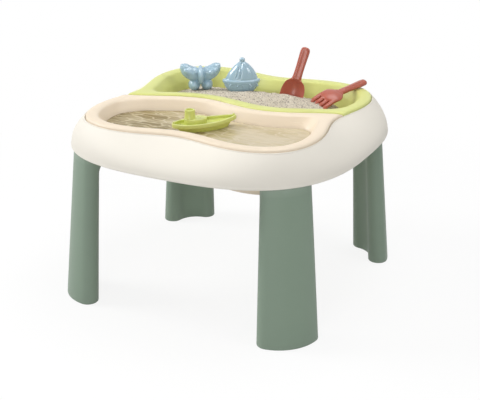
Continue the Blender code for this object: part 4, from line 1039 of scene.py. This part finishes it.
# %% The shovel's skin
blade = spline([(1.00, 0.62, 0.42), (0.985, 0.72, 0.52), (0.94, 0.83, 0.68), (0.80, 0.95, 0.90),
                (0.60, 1.00, 1.00), (0.42, 0.995, 0.98), (0.28, 0.95, 0.90), (0.16, 0.86, 0.76),
                (0.07, 0.72, 0.58), (0.004, 0.52, 0.30)], 4)
grip = spline([(0.035, 1.06, 0.62, 0.00), (0.08, 1.00, 0.78, 0.10), (0.16, 0.94, 0.90, 0.12),
               (0.35, 0.92, 0.98, 0.14), (0.60, 0.95, 1.00, 0.14), (0.80, 1.00, 1.00, 0.12),
               (0.90, 0.98, 0.98, 0.08), (0.955, 0.84, 0.90, 0.02), (0.985, 0.60, 0.66, 0.00),
               (1.00, 0.24, 0.28, 0.00)], 4)
rings = [scoop_ring(-down * SHOVEL_BLADE, wide * SHOVEL_WIDTH, deep * SHOVEL_SCOOP)
         for down, wide, deep in blade]
rings += [grip_ring(up * SHOVEL_HANDLE, wide * SHOVEL_GRIP, thick * SHOVEL_THICK,
                    trough * SHOVEL_THICK) for up, wide, thick, trough in grip]
shovel = skin("sand_shovel", [placed(SHOVEL_PLACE, ring) for ring in rings])
add_modifier(shovel, "SMOOTH", factor=0.4, iterations=3)
finish(shovel, TERRACOTTA, "shovel", ["shovel"], angle=60)

# %% [markdown]
# ## The rake
# A broad domed head with four fingers that curl down into the sand, and a straight handle
# with a ridge. The head and the fingers are bodies that are melted together like the moulds,
# because every join on the real tool is a soft fillet.

# %% The rake
RAKE_TINE_LENGTH, RAKE_HEAD, RAKE_HANDLE = 0.042, 0.028, 0.088
RAKE_WIDTH, RAKE_TINE, RAKE_CURL = 0.052, 0.0108, 0.010
RAKE_HEADING, RAKE_LEAN, RAKE_ROLL, RAKE_LOW, RAKE_VOXEL = -25.3, -81.9, 14, 0.0197, 0.0008
RAKE_PLACE = (standing(*RAKE_AT, CROWN - RAKE_LOW, RAKE_HEADING) @ turned(RAKE_LEAN, "X")
              @ turned(RAKE_ROLL, "Z") @ Matrix.Translation((0.0, -RAKE_CURL, 0.0)))
small = np.linspace(0, 2 * math.pi, 24, endpoint=False)


def bar_ring(x, y, z, width, thick):
    """A flattened round section across the tool."""
    wide = np.sign(np.cos(small)) * np.abs(np.cos(small)) ** 0.8
    return at_height(z, x + width / 2 * wide, y + thick / 2 * np.sin(small))


RAKE_GRIP, RAKE_GRIP_THICK, TINE_THICK, TINE_ROOT, HEEL = 0.0205, 0.013, 0.010, 0.014, 0.008
pitch = (RAKE_WIDTH - RAKE_TINE) / 3
neck = RAKE_TINE_LENGTH + RAKE_HEAD
bodies = []
for finger in range(4):
    x = -1.5 * pitch + finger * pitch
    rings = []
    for share in np.linspace(0, 1, 16):
        z = (RAKE_TINE_LENGTH + TINE_ROOT) * share
        bend = RAKE_CURL * max(0.0, 1 - z / RAKE_TINE_LENGTH) ** 1.6
        slim = 0.45 + 0.55 * math.sin(min(1.0, share * 7.0 + 0.12) * math.pi / 2)
        inward = 1 - 0.06 * share
        rings.append(bar_ring(x * inward, bend, z, RAKE_TINE * slim, TINE_THICK * slim))
    bodies.append(skin(f"finger_{finger}", rings))
head = egg((0.0, -0.0005, RAKE_TINE_LENGTH + 0.004), (RAKE_WIDTH / 2 + 0.001, 0.0082, 0.026))
heel = egg((0.0, 0.0, neck - HEEL), (0.016, 0.007, 0.016))
rings = []
for share, wide, thick in spline([(0.00, 0.90, 0.75), (0.10, 0.88, 0.90), (0.45, 0.90, 0.98),
                                  (0.80, 1.00, 1.00), (0.93, 0.96, 0.96), (0.98, 0.70, 0.74),
                                  (1.00, 0.25, 0.25)], 5):
    rings.append(bar_ring(0.0, 0.0, neck - HEEL + (RAKE_HANDLE + HEEL) * share,
                          RAKE_GRIP * wide, RAKE_GRIP_THICK * thick))
handle = skin("rake_handle", rings)
ridge = egg((0.0, -0.0062, neck + 0.045), (0.0034, 0.0018, 0.034))
rake = melted("sand_rake", [head, heel, handle, ridge] + bodies, RAKE_VOXEL, 4)
rake.data.transform(RAKE_PLACE)
finish(rake, TERRACOTTA, "rake", ["rake"], angle=60)

# %% [markdown]
# ## Last step
# The last line brings the scene up to date.


bpy.context.view_layer.update()
